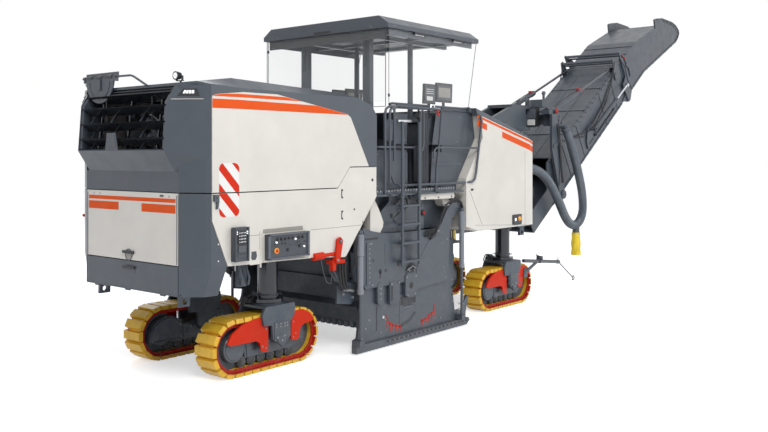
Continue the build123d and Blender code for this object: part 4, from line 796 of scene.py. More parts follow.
def make_controls():
    """Screens, keys, switches and stop button of the ground-level controls."""
    face = HALF + 0.07
    upright, covered = ((-7.31, -7.105), (1.4, 1.77)), ((-6.825, -6.17), (1.375, 1.66))

    def reach(gap):
        """From inside the box to a little behind its face."""
        return face - 0.02, face - gap

    for panel in pair("side_controls", "chassis", "trim", "console"):
        for x, z in (upright, covered):
            panel.prism(rounded(x, z, 0.012), HALF - SUNK, face - 0.016)
        # frame round the upright control box
        x, z = upright
        for low, high in ((x[0] + 0.003, x[0] + 0.022), (x[1] - 0.022, x[1] - 0.003)):
            panel.box((low, high), reach(0.002), z)
        panel.paint("black").prism(rounded((x[0] + 0.045, x[1] - 0.045), (1.585, 1.735), 0.008), face - 0.02,
            face - 0.0055)
        panel.paint("screen").prism(rounded((x[0] + 0.05, x[1] - 0.05), (1.5, 1.572), 0.006), face - 0.02,
            face - 0.004)
        panel.paint("lamp_white")
        for row in range(4):
            for k in range(5):
                px = x[0] + 0.062 + k * 0.02
                panel.box((px, px + 0.009), reach(0.0045), (1.608 + row * 0.033, 1.615 + row * 0.033))
        for px in (x[0] + 0.03, x[1] - 0.03):
            for pz in (1.7, 1.722):
                panel.disc(px, pz, reach(0.001), 0.007, 12, cut=0.001)
        panel.paint("trim_grey")
        for k in range(4):
            px = x[0] + 0.06 + k * 0.026
            panel.disc(px, 1.462, reach(0.001), 0.009, 12, cut=0.001)
        # covered panel with switches
        x, z = covered
        for low, high in ((z[0] + 0.001, z[0] + 0.016), (z[1] - 0.016, z[1] - 0.001)):
            panel.box((x[0] + 0.001, x[1] - 0.001), reach(0.002), (low, high))
        for low, high in ((x[0] + 0.001, x[0] + 0.03), (x[1] - 0.03, x[1] - 0.001)):
            panel.box((low, high), reach(0.002), z)
        for low, high in ((-6.72, -6.6), (-6.56, -6.36), (-6.33, -6.24)):
            panel.box((low, high), reach(0.0055), (1.53, 1.534))
            panel.box((low, low + 0.003), reach(0.0055), (1.534, 1.56))
            panel.box((high - 0.003, high), reach(0.0055), (1.534, 1.56))
        panel.paint("black")
        for px, pz in ((-6.68, 1.6), (-6.62, 1.6), (-6.56, 1.6), (-6.5, 1.6), (-6.44, 1.6), (-6.34, 1.6),
                (-6.28, 1.6), (-6.33, 1.5), (-6.52, 1.47)):
            panel.disc(px, pz, reach(0.006), 0.018, 16, cut=0.001)
            panel.box((px - 0.005, px + 0.005), (face - 0.01, face - 0.001), (pz - 0.014, pz + 0.014))
        panel.paint("lamp_white")
        for px, pz in ((-6.7, 1.565), (-6.4, 1.585), (-6.26, 1.49)):
            panel.disc(px, pz, reach(0.001), 0.011, 12, cut=0.001)
        panel.paint("amber").disc(-6.695, 1.47, reach(0.005), 0.034, 24)
        panel.paint("red").disc(-6.695, 1.47, (face - 0.006, face - 0.001), 0.021, 20, cut=0.001)
        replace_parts(panel.done(0.001), "control_panels")


make_controls()


def make_levelling_arm():
    """Red sensor arm in front of the rear track: swinging arm, clamp tube, carrier and thin cable."""
    for arm in pair("level_arm", "chassis", "red_paint", "red"):
        arm.bar((-5.9, 1.245, 1.338), (-5.6, 1.245, 1.342), 0.024, 18)
        arm.bar((-6.045, 1.245, 1.335), (-5.87, 1.245, 1.338), 0.045, 22)
        arm.disc(-5.655, 1.27, (1.2, 1.262), 0.034, 20)
        arm.prism([(-5.655, 1.52), (-5.6, 1.545), (-5.555, 1.5), (-5.6, 1.3), (-5.625, 1.235), (-5.68, 1.235),
            (-5.69, 1.3)], 1.262, 1.292)
        # carrier under the frame, as the arm's hidden root
        arm.box((-5.556, -5.494), (1.15, 1.21), (1.215, 1.44))
        arm.box((-5.72, -5.494), (1.15, 1.262), (1.215, 1.262))
        arm.box((-5.72, -5.66), (1.21, 1.268), (1.14, 1.225))
        arm.paint("console").disc(-5.605, 1.495, (1.29, 1.3), 0.03, 18)
        arm.tube([(-5.93, 1.262, 1.33), (-5.9, 1.272, 1.16), (-5.84, 1.272, 1.02), (-5.74, 1.25, 0.98),
            (-5.69, 1.24, 1.15)], 0.006, 8)
        arm.paint("steel").bolts(1.292, 0.014, (-5.655, 1.265))
        arm.bolts(1.3, 0.012, (-5.605, 1.495))
        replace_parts(arm.done(0.003), "sensor_arm")


make_levelling_arm()


# ---------------------------------------------------------------- running gear
TRACK_BACK = 0.135         # track centre behind its column
LINK_OUT = 0.292           # outer face of the chain, from the wheels' axes
WHEEL_Z = 0.336
WHEEL_SPAN = 1.018
PAD_COUNT = 30
YOKE_SIDE = 0.184
COLUMN_Y = 0.69
ROLLER_Z = 0.152           # axes of the small rollers
YOKE_FACE = 0.218          # outer face of the yoke's shield, from the track's middle


def loop_place(distance, radius):
    """Point and outward direction on a loop round both wheels, walking from its top rear end."""
    bend = math.pi * LINK_OUT
    travelled = distance % (2 * WHEEL_SPAN + 2 * bend)
    if travelled < WHEEL_SPAN:
        return travelled - WHEEL_SPAN / 2, radius, 0.0, 1.0
    travelled -= WHEEL_SPAN
    if travelled < bend:
        turn = travelled / LINK_OUT
        return (WHEEL_SPAN / 2 + radius * math.sin(turn), radius * math.cos(turn),
            math.sin(turn), math.cos(turn))
    travelled -= bend
    if travelled < WHEEL_SPAN:
        return WHEEL_SPAN / 2 - travelled, -radius, 0.0, -1.0
    turn = (travelled - WHEEL_SPAN) / LINK_OUT
    return (-WHEEL_SPAN / 2 - radius * math.sin(turn), -radius * math.cos(turn),
        -math.sin(turn), -math.cos(turn))


LOOP = 2 * WHEEL_SPAN + 2 * math.pi * LINK_OUT
PITCH = LOOP / PAD_COUNT


def make_chain(corner, column_x, side):
    """Red link plates, pins and shoe bolts of one track."""
    chain = Piece(f"chain_{corner}", f"carriage_{corner}", "pads", "chain_red", side)
    mid_x, mid_y = column_x - TRACK_BACK, COLUMN_Y
    for k in range(PAD_COUNT):
        x, up, out_x, out_z = loop_place(WHEEL_SPAN / 2 + (k + 0.5) * PITCH, LINK_OUT)
        way = Vector((out_x, 0, out_z))
        along_way = Vector((out_z, 0, -out_x))
        spot = Vector((mid_x + x, mid_y, WHEEL_Z + up))
        for y_low, y_high in ((-0.138, -0.1195), (0.1195, 0.138)):
            plate = ((-0.066, -0.052), (0.04, -0.052), (0.066, -0.036), (0.066, -0.012), (0.046, 0.004),
                (-0.046, 0.004), (-0.066, -0.014))
            chain.rings([[spot + along_way * u + way * v + Vector((0, y, 0)) for u, v in plate]
                for y in (y_low, y_high)])
        pin = spot + along_way * (PITCH / 2) - way * 0.024
        chain.bar(pin - Vector((0, 0.146, 0)), pin + Vector((0, 0.146, 0)), 0.015, 10, cut=0.002)
        # steel shoe plate under the pad, wider than the pad at its ends
        for y_low, y_high in ((-0.176, -0.138), (0.138, 0.176)):
            shoe = ((-0.052, -0.012), (0.052, -0.012), (0.052, -0.0065), (-0.052, -0.0065))
            chain.rings([[spot + along_way * u + way * v + Vector((0, y, 0)) for u, v in shoe]
                for y in (y_low, y_high)])
            for u in (-0.03, 0.03):
                head = spot + along_way * u - way * 0.012 + Vector((0, (y_low + y_high) / 2, 0))
                chain.bar(head, head - way * 0.012, 0.01, 6, cut=0.001)
    chain.done(0.0)


def make_carriage_trim(corner, column_x, side):
    """Hub discs, rims, roller caps, cover plates and bolts of one track carriage."""
    trim = Piece(f"carriage_trim_{corner}", f"carriage_{corner}", "cast", "slate", side)
    mid_x, mid_y = column_x - TRACK_BACK, COLUMN_Y
    rear_x, front_x = mid_x - WHEEL_SPAN / 2, mid_x + WHEEL_SPAN / 2
    for out in (-1, 1):
        face = mid_y + out * 0.095
        trim.paint("slate")
        # drive hub: stepped disc with a ring of bolts
        trim.disc(rear_x + 0.01, WHEEL_Z - 0.01, (face - out * 0.01, face + out * 0.03), 0.158, 40, cut=0.008)
        trim.disc(rear_x + 0.01, WHEEL_Z - 0.01, (face + out * 0.028, face + out * 0.038), 0.132, 40,
            cut=0.004)
        trim.disc(front_x, WHEEL_Z, (face - out * 0.01, face + out * 0.016), 0.085, 28, cut=0.006)
        trim.paint("cast")
        for k in range(6):
            x = rear_x + 0.15 + k * (WHEEL_SPAN - 0.26) / 5
            trim.disc(x, ROLLER_Z, (mid_y + out * 0.08, mid_y + out * 0.094), 0.05, 24, cut=0.005)
            trim.disc(x, ROLLER_Z, (mid_y + out * 0.092, mid_y + out * 0.099), 0.022, 16, cut=0.002)
            trim.hex_bolt((x + 0.036, mid_y + out * 0.093, ROLLER_Z), (0, out, 0), 0.006)
        # bolted frame plate with its cast windows, drawn as dark slate films: painted shade inside them
        trim.paint("slate")
        plate = [(rear_x + 0.22, 0.195), (front_x - 0.07, 0.195), (front_x + 0.08, 0.28),
            (front_x + 0.08, 0.4), (front_x - 0.03, 0.47), (front_x - 0.25, 0.475), (front_x - 0.27, 0.415),
            (mid_x - 0.03, 0.375), (mid_x - 0.27, 0.375), (rear_x + 0.2, 0.435)]
        trim.prism(plate, face - out * 0.004, face + out * 0.008)
        trim.paint("slate_dark")
        for low, high in ((mid_x - 0.21, mid_x - 0.15), (mid_x - 0.12, mid_x - 0.05)):
            trim.prism(rounded((low, high), (0.265, 0.345), 0.012, 3), face + out * 0.004,
                face + out * 0.0095)
        trim.paint("steel")
        for x, z in ((mid_x - 0.02, 0.345), (mid_x + 0.05, 0.33), (mid_x + 0.3, 0.43), (front_x - 0.01, 0.42),
                (rear_x + 0.25, 0.4)):
            trim.hex_bolt((x, face + out * 0.008, z), (0, out, 0), 0.009)
    # outside of the yoke: bolts and pads on the shield
    outer = mid_y + YOKE_FACE
    trim.paint("slate").prism([(column_x - 0.1, 0.33), (column_x + 0.14, 0.36), (column_x + 0.14, 0.56),
        (column_x - 0.1, 0.56)], outer - 0.002, outer + 0.006)
    trim.disc(column_x, WHEEL_Z + 0.02, (outer - 0.01, outer + 0.014), 0.055, 30, cut=0.004)
    trim.paint("steel")
    for x in (-0.07, 0.0, 0.07, 0.11):
        for z in (0.5, 0.535):
            trim.bolts(outer + 0.006, 0.008, (column_x + x, z))
    for x, z in ((-0.05, 0.375), (0.06, 0.385), (0.02, 0.335)):
        trim.bolts(outer + 0.006, 0.012, (column_x + x, z))
    # motor cover on the inner side: rim and bolts round the D
    inner = mid_y - 0.169
    trim.paint("slate_dark")
    rim = [(rear_x - 0.175, 0.24), (rear_x - 0.175, 0.3), (rear_x - 0.13, 0.41), (rear_x - 0.03, 0.495),
        (rear_x + 0.08, 0.52), (rear_x + 0.2, 0.49), (rear_x + 0.3, 0.4), (rear_x + 0.315, 0.35),
        (rear_x + 0.315, 0.24)]
    trim.tube([(x, inner, z) for x, z in rim], 0.01, 8, loop=True)
    trim.paint("steel")
    for x, z in (rim[0], rim[2], rim[4], rim[6], rim[8]):
        trim.hex_bolt((x + (0.03 if x < rear_x else -0.03), inner, z + 0.012), (0, -1, 0), 0.008)
    # hoses and valve block on the yoke plate, beside the column
    trim.paint("cast").box((column_x - 0.21, column_x - 0.12), (mid_y - 0.2, mid_y - 0.08), (0.772, 0.83))
    trim.box((column_x + 0.12, column_x + 0.21), (mid_y - 0.2, mid_y - 0.06), (0.772, 0.815))
    trim.paint("black")
    for k in range(4):
        y = mid_y - (0.185 - k * 0.032)
        trim.post(column_x - 0.165, y, (0.825, 0.85), 0.012, 10)
        trim.tube([(column_x - 0.165, y, 0.84), (column_x - 0.2, y, 0.87), (column_x - 0.26, y, 0.85),
            (column_x - 0.285, y - 0.02, 0.76)], 0.009, 8)
    trim.done(0.0025)


def make_fender_trim(corner, column_x, side):
    """Rolled outer edge and screws of the red fenders."""
    trim = Piece(f"fender_trim_{corner}", f"carriage_{corner}", "red_paint", "red", side)
    y = COLUMN_Y + YOKE_SIDE
    rear_x, front_x = column_x - TRACK_BACK - WHEEL_SPAN / 2, column_x - TRACK_BACK + WHEEL_SPAN / 2
    crown = WHEEL_Z + 0.336 - 0.025
    rear_tip, front_tip = rear_x - 0.14, front_x + 0.225
    rear_arc = [(column_x - 0.165, crown), (rear_tip + 0.4, crown - 0.008), (rear_tip + 0.22, crown - 0.045),
        (rear_tip + 0.07, 0.52), (rear_tip, 0.42)]
    front_arc = [(column_x + 0.215, crown), (front_tip - 0.18, crown), (front_tip - 0.06, crown - 0.055),
        (front_tip, 0.52)]
    for line in (rear_arc, front_arc):
        rings = []
        for x, z in line:
            rings.append([(x, y, z), (x, y - 0.03, z - 0.002), (x, y - 0.03, z - 0.008),
                (x, y - 0.008, z - 0.01), (x, y - 0.002, z - 0.016), (x, y + 0.0006, z - 0.014)])
        trim.rings(rings)
    trim.paint("steel").bolts(y, 0.008, (column_x - 0.2, 0.27), (column_x - 0.255, 0.3),
        (column_x - 0.2, 0.5), (column_x + 0.25, 0.33), (column_x + 0.29, 0.37), (column_x + 0.25, 0.52))
    trim.done(0.001)


def make_column_trim(corner, column_x, side):
    """Collar and wiper where the column enters its sleeve, and the bolted ring at its foot."""
    y = COLUMN_Y
    collar = Piece(f"sleeve_trim_{corner}", "chassis", "frame_paint", "slate_frame", side)
    collar.torus((column_x, y, 1.306), (0, 0, 1), 0.1475, 0.01, 36)
    for k in range(8):
        turn = 2 * math.pi * (k + 0.5) / 8
        collar.hex_bolt((column_x + 0.147 * math.cos(turn), y + 0.147 * math.sin(turn), 1.298), (0, 0, -1),
            0.009)
    collar.done(0.0)
    foot = Piece(f"column_trim_{corner}", f"column_{corner}", "frame_paint", "slate_frame", side)
    for k in range(10):
        turn = 2 * math.pi * (k + 0.5) / 10
        foot.hex_bolt((column_x + 0.158 * math.cos(turn), y + 0.158 * math.sin(turn), 0.865), (0, 0, 1),
            0.011)
    foot.torus((column_x, y, 0.872), (0, 0, 1), 0.126, 0.009, 36)
    foot.done(0.0)


for corner_name, (corner_x, corner_side) in COLUMNS.items():
    make_chain(corner_name, corner_x, corner_side)
    make_carriage_trim(corner_name, corner_x, corner_side)
    make_fender_trim(corner_name, corner_x, corner_side)
    make_column_trim(corner_name, corner_x, corner_side)


def make_feeler_arm():
    """Jointed feeler in front of the right front track: clamp, tube and thin rod with its ring."""
    arm = Piece("feeler_arm", "carriage_front_right", "grey_paint", "slate")
    y = -0.9
    arm.tube([(-0.43, y + 0.03, 0.5), (-0.36, y, 0.55), (0.06, y, 0.7)], 0.026, 14)
    arm.prism([(-0.47, 0.44), (-0.34, 0.44), (-0.32, 0.58), (-0.44, 0.6)], y + 0.005, y + 0.05)
    arm.prism([(0.03, 0.64), (0.11, 0.66), (0.12, 0.76), (0.04, 0.77)], y - 0.045, y + 0.045)
    arm.tube([(-0.5, y, 0.733), (0.76, y, 0.595)], 0.03, 16)
    arm.bar((0.7, y, 0.603), (0.79, y, 0.59), 0.036, 16)
    arm.paint("column").tube([(0.06, y, 0.76), (-0.06, y, 0.8)], 0.009, 8)
    arm.post(0.76, y, (0.6, 0.69), 0.006, 8)
    arm.tube([(0.76, y, 0.6), (1.33, y, 0.255)], 0.01, 8)
    arm.torus((1.365, y, 0.232), (0, 1, 0), 0.038, 0.009, 24, 8)
    arm.hex_bolt((0.07, y - 0.045, 0.71), (0, -1, 0), 0.016)
    arm.done(0.003)


make_feeler_arm()


# ---------------------------------------------------------------- milling unit
GUIDE_FACE = 1.188         # outer face of the guide plates: half width - 62 mm
PLATE_FACE = 1.146         # outer face of the moving side plates, behind the guide plates


@both_sides("guide_trim", "chassis", "grey_paint", "black", 0.003)
def guide_trim(trim):
    """Slots, bolts, hoses and tall box on the fixed guide plates."""
    y = GUIDE_FACE
    low, high = GUIDE_FACE - SUNK, GUIDE_FACE + PROUD
    # dark slots and handle holes: black films, painted shade inside them
    for x0, x1, z0, z1 in ((-5.03, -4.76, 1.448, 1.475), (-4.6, -4.41, 1.305, 1.33),
            (-4.57, -4.42, 1.222, 1.24), (-4.57, -4.42, 1.18, 1.202)):
        trim.prism(rounded((x0, x1), (z0, z1), 0.008, 3), low, high)
    for x, z, size in ((-3.5, 1.126, 0.03), (-3.435, 0.985, 0.042), (-3.26, 1.2, 0.016), (-3.24, 1.12, 0.016),
            (-3.27, 1.055, 0.016), (-4.716, 1.023, 0.034)):
        trim.disc(x, z, (low, high), size, 20, cut=FILM_CUT)
    trim.box((-4.73, -4.702), (low, high), (1.02, 0.93))
    trim.paint("slate").torus((-3.435, y, 0.985), (0, 1, 0), 0.042, 0.008, 24, 8)
    # bolts up the rear edge and round the front plate
    trim.paint("steel")
    for k in range(9):
        trim.bolts(y, 0.009, (-4.935, 0.9 + k * 0.062))
    trim.bolts(y, 0.011, (-3.26, 0.86), (-3.25, 0.79), (-3.28, 0.93), (-3.33, 1.28), (-3.2, 1.33),
        (-4.3, 1.42), (-3.62, 1.4), (-4.88, 0.86), (-4.9, 1.4))
    # doubler plates
    trim.paint("slate").plate(GUIDE_FACE, 0.005, [(-3.93, 0.705), (-3.2, 0.74), (-3.16, 1.2), (-3.17, 1.38),
        (-3.4, 1.4), (-3.62, 1.36), (-3.78, 1.2), (-3.93, 0.98)])
    # tabs that hang below the guide plate in front of the moving plate
    tab = (1.156, GUIDE_FACE + 0.008)
    capsule = arc((-4.722, 0.82), 0.056, 0, 180, 10) + arc((-4.722, 0.64), 0.056, 180, 360, 10)
    trim.prism(capsule, *tab)
    trim.prism([(-4.52, 0.56), (-4.34, 0.56), (-4.31, 0.6), (-4.31, 0.86), (-4.52, 0.86)], *tab)
    trim.prism([(-4.19, 0.64), (-4.12, 0.6), (-3.99, 0.6), (-3.93, 0.64), (-3.93, 0.9), (-3.97, 0.935),
        (-4.15, 0.935), (-4.19, 0.9)], 1.156, GUIDE_FACE + 0.014)
    trim.panel(GUIDE_FACE, 0.01, (-5.0, -4.955), (0.86, 1.42))
    trim.plate(GUIDE_FACE, 0.003, [(-4.62, 1.1), (-4.44, 1.1), (-4.4, 1.16), (-4.4, 1.38), (-4.62, 1.38)])
    # black films below: painted shade inside the half-round opening, the slot and the holes
    trim.paint("black").prism(arc((-4.05, 0.945), 0.13, 0, 180, 14), low, high)
    trim.disc(-4.06, 0.76, (GUIDE_FACE + 0.013, GUIDE_FACE + 0.0155), 0.045, 20, cut=FILM_CUT)
    trim.box((-4.5, -4.46), (GUIDE_FACE + 0.007, GUIDE_FACE + 0.0092), (0.6, 0.8))
    for x, z, size in ((-3.86, 0.93, 0.034), (-4.6, 1.02, 0.022), (-4.33, 1.08, 0.026), (-4.86, 1.18, 0.02),
            (-3.7, 1.22, 0.026), (-4.2, 1.32, 0.03)):
        trim.disc(x, z, (low, high), size, 18, cut=FILM_CUT)
    trim.paint("cylinder").tube([(-4.15, 1.2, 0.98), (-4.05, 1.215, 1.03), (-3.97, 1.21, 0.99)], 0.012, 8)
    trim.paint("steel")
    for k in range(3):
        trim.bolts(GUIDE_FACE + 0.008, 0.012, (-4.722, 0.655 + k * 0.07))
    trim.bolts(GUIDE_FACE + 0.013, 0.01, (-4.16, 0.88), (-3.96, 0.88), (-4.14, 0.64), (-3.98, 0.64),
        (-4.49, 0.83), (-4.34, 0.83), (-4.1, 0.97), (-3.99, 0.965))
    trim.paint("slate")
    # tall box between guide plate and deck, with its lamp
    box = (0.9, 1.1)
    trim.prism([(-4.42, 1.5), (-3.64, 1.5), (-3.64, 1.855), (-3.95, 1.87), (-4.02, 2.0), (-4.42, 2.0)], *box)
    trim.prism([(-4.74, 1.5), (-4.42, 1.5), (-4.42, 1.93), (-4.66, 1.74), (-4.74, 1.7)], 0.95, 1.1)
    face = (1.1, 1.112)
    trim.prism([(-4.28, 1.62), (-4.14, 1.7), (-4.02, 1.72), (-4.06, 1.78), (-4.2, 1.77), (-4.34, 1.68)],
        *face)
    trim.box((-3.8, -3.66), face, (1.52, 1.545))
    trim.bolts(1.1, 0.01, (-3.7, 1.83), (-3.7, 1.56), (-4.35, 1.55), (-4.36, 1.92))
    trim.paint("black").disc(-3.68, 1.735, (1.1, 1.128), 0.04, 20)
    trim.box((-4.39, -4.35), face, (1.7, 1.76))
    trim.tube([(-4.34, 1.13, 1.88), (-4.24, 1.15, 1.95), (-4.1, 1.15, 1.95), (-4.04, 1.13, 1.84),
        (-4.16, 1.13, 1.8)], 0.014, 8)
    trim.tube([(-3.95, 1.14, 1.99), (-3.86, 1.15, 1.92), (-3.78, 1.14, 1.85)], 0.016, 8)
    trim.paint("chain_red").disc(-3.68, 1.735, (1.128, 1.14), 0.026, 18)


@both_sides("neck_hoses", "chassis", "hose", "rubber", 0.0)
def goose_neck_hoses(hoses):
    """Pair of hydraulic hoses that run up the goose-neck and over to the front cylinder."""
    for shift, rise in ((0.0, 0.0), (0.03, 0.02)):
        y = GUIDE_FACE + 0.016 + shift * 0.5
        route = [(-3.62, 1.36), (-3.5, 1.42), (-3.4, 1.55), (-3.33, 1.7), (-3.24, 1.81), (-3.12, 1.872),
            (-2.96, 1.882), (-2.86, 1.84), (-2.805, 1.74), (-2.79, 1.6), (-2.8, 1.2), (-2.83, 0.98)]
        hoses.tube([(x - rise * 0.6, y, z + rise) for x, z in route], 0.012, 10)
    hoses.paint("steel")
    for x, z in ((-3.47, 1.47), (-3.22, 1.83), (-2.8, 1.62)):
        hoses.box((x - 0.03, x + 0.02), (GUIDE_FACE - 0.002, GUIDE_FACE + 0.052), (z - 0.006, z + 0.01))
    # rear loop over the lifting cylinder
    hoses.paint("rubber")
    for shift in (0.0, 0.026):
        hoses.tube([(-5.02, 1.15 + shift, 1.5), (-5.1, 1.17 + shift, 1.6 + shift),
            (-5.2, 1.19 + shift, 1.6 + shift), (-5.245, 1.2 + shift, 1.5), (-5.25, 1.2 + shift, 1.3),
            (-5.235, 1.2 + shift, 1.15)], 0.01, 8)
    # cluster at the foot of the neck
    for k in range(4):
        x = -3.74 + k * 0.055
        hoses.tube([(x, 1.2, 1.4), (x + 0.01, 1.215, 1.46), (x + 0.06, 1.21, 1.5), (x + 0.11, 1.2, 1.46)],
            0.013, 8)


@both_sides("plate_cylinder_trim", "chassis", "grey_paint", "cylinder", 0.002)
def lift_cylinders(trim):
    """Heads, glands, clevises and bolts of the side plates' lifting cylinders."""
    y = 1.228
    for x, foot, top in ((-5.16, 0.79, 1.56), (-2.868, 0.9, 1.74)):
        trim.paint("cylinder").post(x, y, (foot + 0.04, top - 0.3), 0.0375, 24)
        trim.post(x, y, (top - 0.3, top - 0.02), 0.045, 24, cut=0.01)
        trim.post(x, y, (foot - 0.012, foot + 0.05), 0.043, 24, cut=0.006)
        trim.paint("steel").post(x, y, (foot - 0.018, foot - 0.01), 0.03, 20, cut=0.002)
        trim.bolts(y + 0.04, 0.012, (x, top - 0.05))


def make_side_plate_trim():
    """Slot, plates, hooks, horn and skid rivets of the moving side plates.

    What can rise behind the guide plates stands out 3 mm at most."""
    for side, word in SIDE_NAME.items():
        body = f"side_plate_{word}"
        face = PLATE_FACE
        film = (face - SUNK, face + PROUD)
        thin = (face - SUNK, face + 0.003)
        trim = Piece(f"{body}_trim", body, "grey_paint", "black", side)
        # slot, two short slots and two holes as black films: painted shade inside them
        trim.box((-4.752, -4.73), film, (0.235, 0.56))
        for x in (-4.205, -3.925):
            trim.box((x - 0.03, x + 0.03), (face + 0.002, face + 0.0036), (0.5, 0.62))
        for x, z in ((-3.02, 0.6), (-3.0, 0.5)):
            trim.disc(x, z, (face - SUNK, face + 0.001), 0.016, 14, cut=0.0003)
        # window plate between its two dark slots, with a darker slanting band, a darker patch and a thin
        # lighter grey strip
        trim.paint("slate").prism([(-4.255, 0.27), (-3.87, 0.25), (-3.87, 0.66), (-4.255, 0.66)], *thin)
        trim.paint("slate_dark").prism([(-4.245, 0.24), (-4.06, 0.3), (-3.92, 0.38), (-3.885, 0.36),
            (-4.0, 0.26), (-4.22, 0.2)], face + 0.002, face + 0.0034)
        trim.box((-4.17, -3.96), (face + 0.002, face + 0.0034), (0.47, 0.64))
        trim.paint("cylinder").box((-4.16, -3.97), (face + 0.002, face + 0.0034), (0.46, 0.475))
        # front horn with its doubler
        trim.paint("slate").prism([(-2.71, 0.27), (-2.58, 0.42), (-2.57, 0.43), (-2.62, 0.43), (-2.66, 0.4),
            (-2.78, 0.3)], face - 0.002, face + 0.01)
        trim.paint("steel").bolts(face, 0.011, (-4.9, 0.4), (-4.62, 0.42), (-4.56, 0.36), (-3.02, 0.72),
            (-3.0, 0.4), (-2.8, 0.34), (-5.1, 0.14), (-5.04, 0.17), (-2.72, 0.33), (-4.97, 0.3), (-3.3, 0.2),
            (-4.66, 0.2))
        trim.paint("signal_white").tube([(-2.86, face + 0.01, 0.36), (-2.82, face + 0.03, 0.33),
            (-2.8, face + 0.024, 0.28), (-2.84, face + 0.012, 0.25)], 0.011, 8)
        trim.disc(-4.6, 0.395, (face, face + 0.005), 0.018, 16, cut=0.001)
        # red carrying hooks: flat bars with their rungs
        trim.paint("red")
        for x, flip in ((-4.375, 1), (-3.6, -1)):
            rail = [(-0.15, 0.135), (-0.125, 0.055), (-0.02, 0.0), (0.165, -0.045)]
            for (u0, v0), (u1, v1) in zip(rail, rail[1:]):
                trim.prism([(x + flip * u0, 0.245 + v0), (x + flip * u1, 0.245 + v1),
                    (x + flip * u1, 0.265 + v1), (x + flip * u0, 0.265 + v0)], *thin)
            for u, foot, head in ((-0.145, 0.24, 0.42), (-0.085, 0.18, 0.32), (-0.02, 0.19, 0.29),
                    (0.05, 0.17, 0.26), (0.12, 0.16, 0.245), (0.155, 0.15, 0.26)):
                trim.box((x + flip * u - 0.008, x + flip * u + 0.008), thin, (foot, head))
        # row of rivets on dark rounded patches along the skid
        trim.paint("black")
        skid_face = face + 0.046
        for k in range(20):
            x = -4.56 + k * 0.098
            trim.plate(skid_face, 0.0014, rounded((x - 0.03, x + 0.03), (0.064, 0.092), 0.009, 3))
        trim.panel(skid_face, 0.0012, (-4.62, -2.62), (0.104, 0.112))
        trim.paint("steel")
        for k in range(19):
            x = -4.51 + k * 0.098
            trim.disc(x, 0.078, (skid_face - SUNK, skid_face + 0.006), 0.008, 10, cut=0.001)
        trim.done(0.0)


make_side_plate_trim()


@both_sides("valve_bank", "chassis", "cast", "cast", 0.002)
def valves(valves):
    """Water and hydraulic valves under the front of the deck, with brass and red fittings."""
    valves.box((-3.1, -2.72), (0.92, 1.02), (1.255, 1.3))
    valves.box((-3.08, -2.76), (0.9, 1.0), (1.14, 1.17))
    for k in range(5):
        x = -3.05 + k * 0.065
        valves.paint("steel").post(x, 0.98, (1.3, 1.37), 0.016, 14)
        valves.paint("chain_red" if k % 2 else "steel")
        valves.post(x, 0.98, (1.37, 1.41), 0.02, 6)
        valves.paint("chain_red" if k < 3 else "rubber")
        valves.post(x, 0.96, (1.17, 1.25), 0.018, 12)
        valves.paint("rubber").tube([(x, 0.96, 1.15), (x + 0.01, 0.96, 1.02), (x + 0.05, 0.93, 0.92),
            (x + 0.03, 0.9, 0.84)], 0.013, 8)
    valves.paint("brass").post(-2.74, 1.0, (1.28, 1.42), 0.034, 20, far=0.028)
    valves.paint("cast").box((-2.82, -2.64), (0.95, 1.05), (1.225, 1.26))


def make_frame_fittings():
    """Pipes, hoses and brackets that show between the rear tracks and the milling unit."""
    parts = Piece("frame_fittings", "chassis", "frame_paint", "slate_frame")
    for parts.flip in SIDES:
        y = 1.08
        parts.prism([(-5.58, 1.3), (-5.5, 1.3), (-5.45, 1.12), (-5.34, 1.02), (-5.34, 0.94), (-5.42, 0.96),
            (-5.53, 1.1)], 1.02, 1.06)
        parts.route(y, [(-5.5, 1.3), (-5.5, 1.1), (-5.4, 0.96), (-5.3, 0.9)], 0.022, 10)
        parts.prism([(-5.36, 0.9), (-5.02, 0.9), (-5.02, 0.66), (-5.1, 0.62), (-5.36, 0.66)], 0.98, 1.01)
        parts.prism([(-5.16, 1.3), (-5.02, 1.3), (-5.02, 0.92), (-5.1, 0.92)], 1.05, 1.1)
        for x in (-7.05, -6.95):
            parts.tube([(x, 1.08, 1.4), (x, 1.09, 1.28), (x + 0.05, 1.08, 1.17), (x + 0.06, 1.05, 1.09)],
                0.014, 8)
        parts.box((-7.02, -6.9), (0.98, 1.04), (1.075, 1.4))
    parts.paint("rubber")
    for parts.flip in SIDES:
        for k in range(3):
            x = -5.44 + k * 0.05
            parts.tube([(x, 1.12, 1.32), (x - 0.02, 1.14, 1.1), (x + 0.03, 1.12, 0.92),
                (x + 0.12, 1.08, 0.84)], 0.014, 8)
    parts.paint("steel")
    for parts.flip in SIDES:
        parts.bar((-5.28, 1.03, 0.84), (-5.08, 1.03, 0.8), 0.03, 18)
        parts.bolts(1.06, 0.012, (-5.4, 1.0), (-5.3, 0.78), (-5.12, 0.72))
    parts.done(0.003)


make_frame_fittings()


# ---------------------------------------------------------------- operator's place
DECK_BACK, DECK_FRONT = -4.84, -2.84
RAIL_Y = 1.226


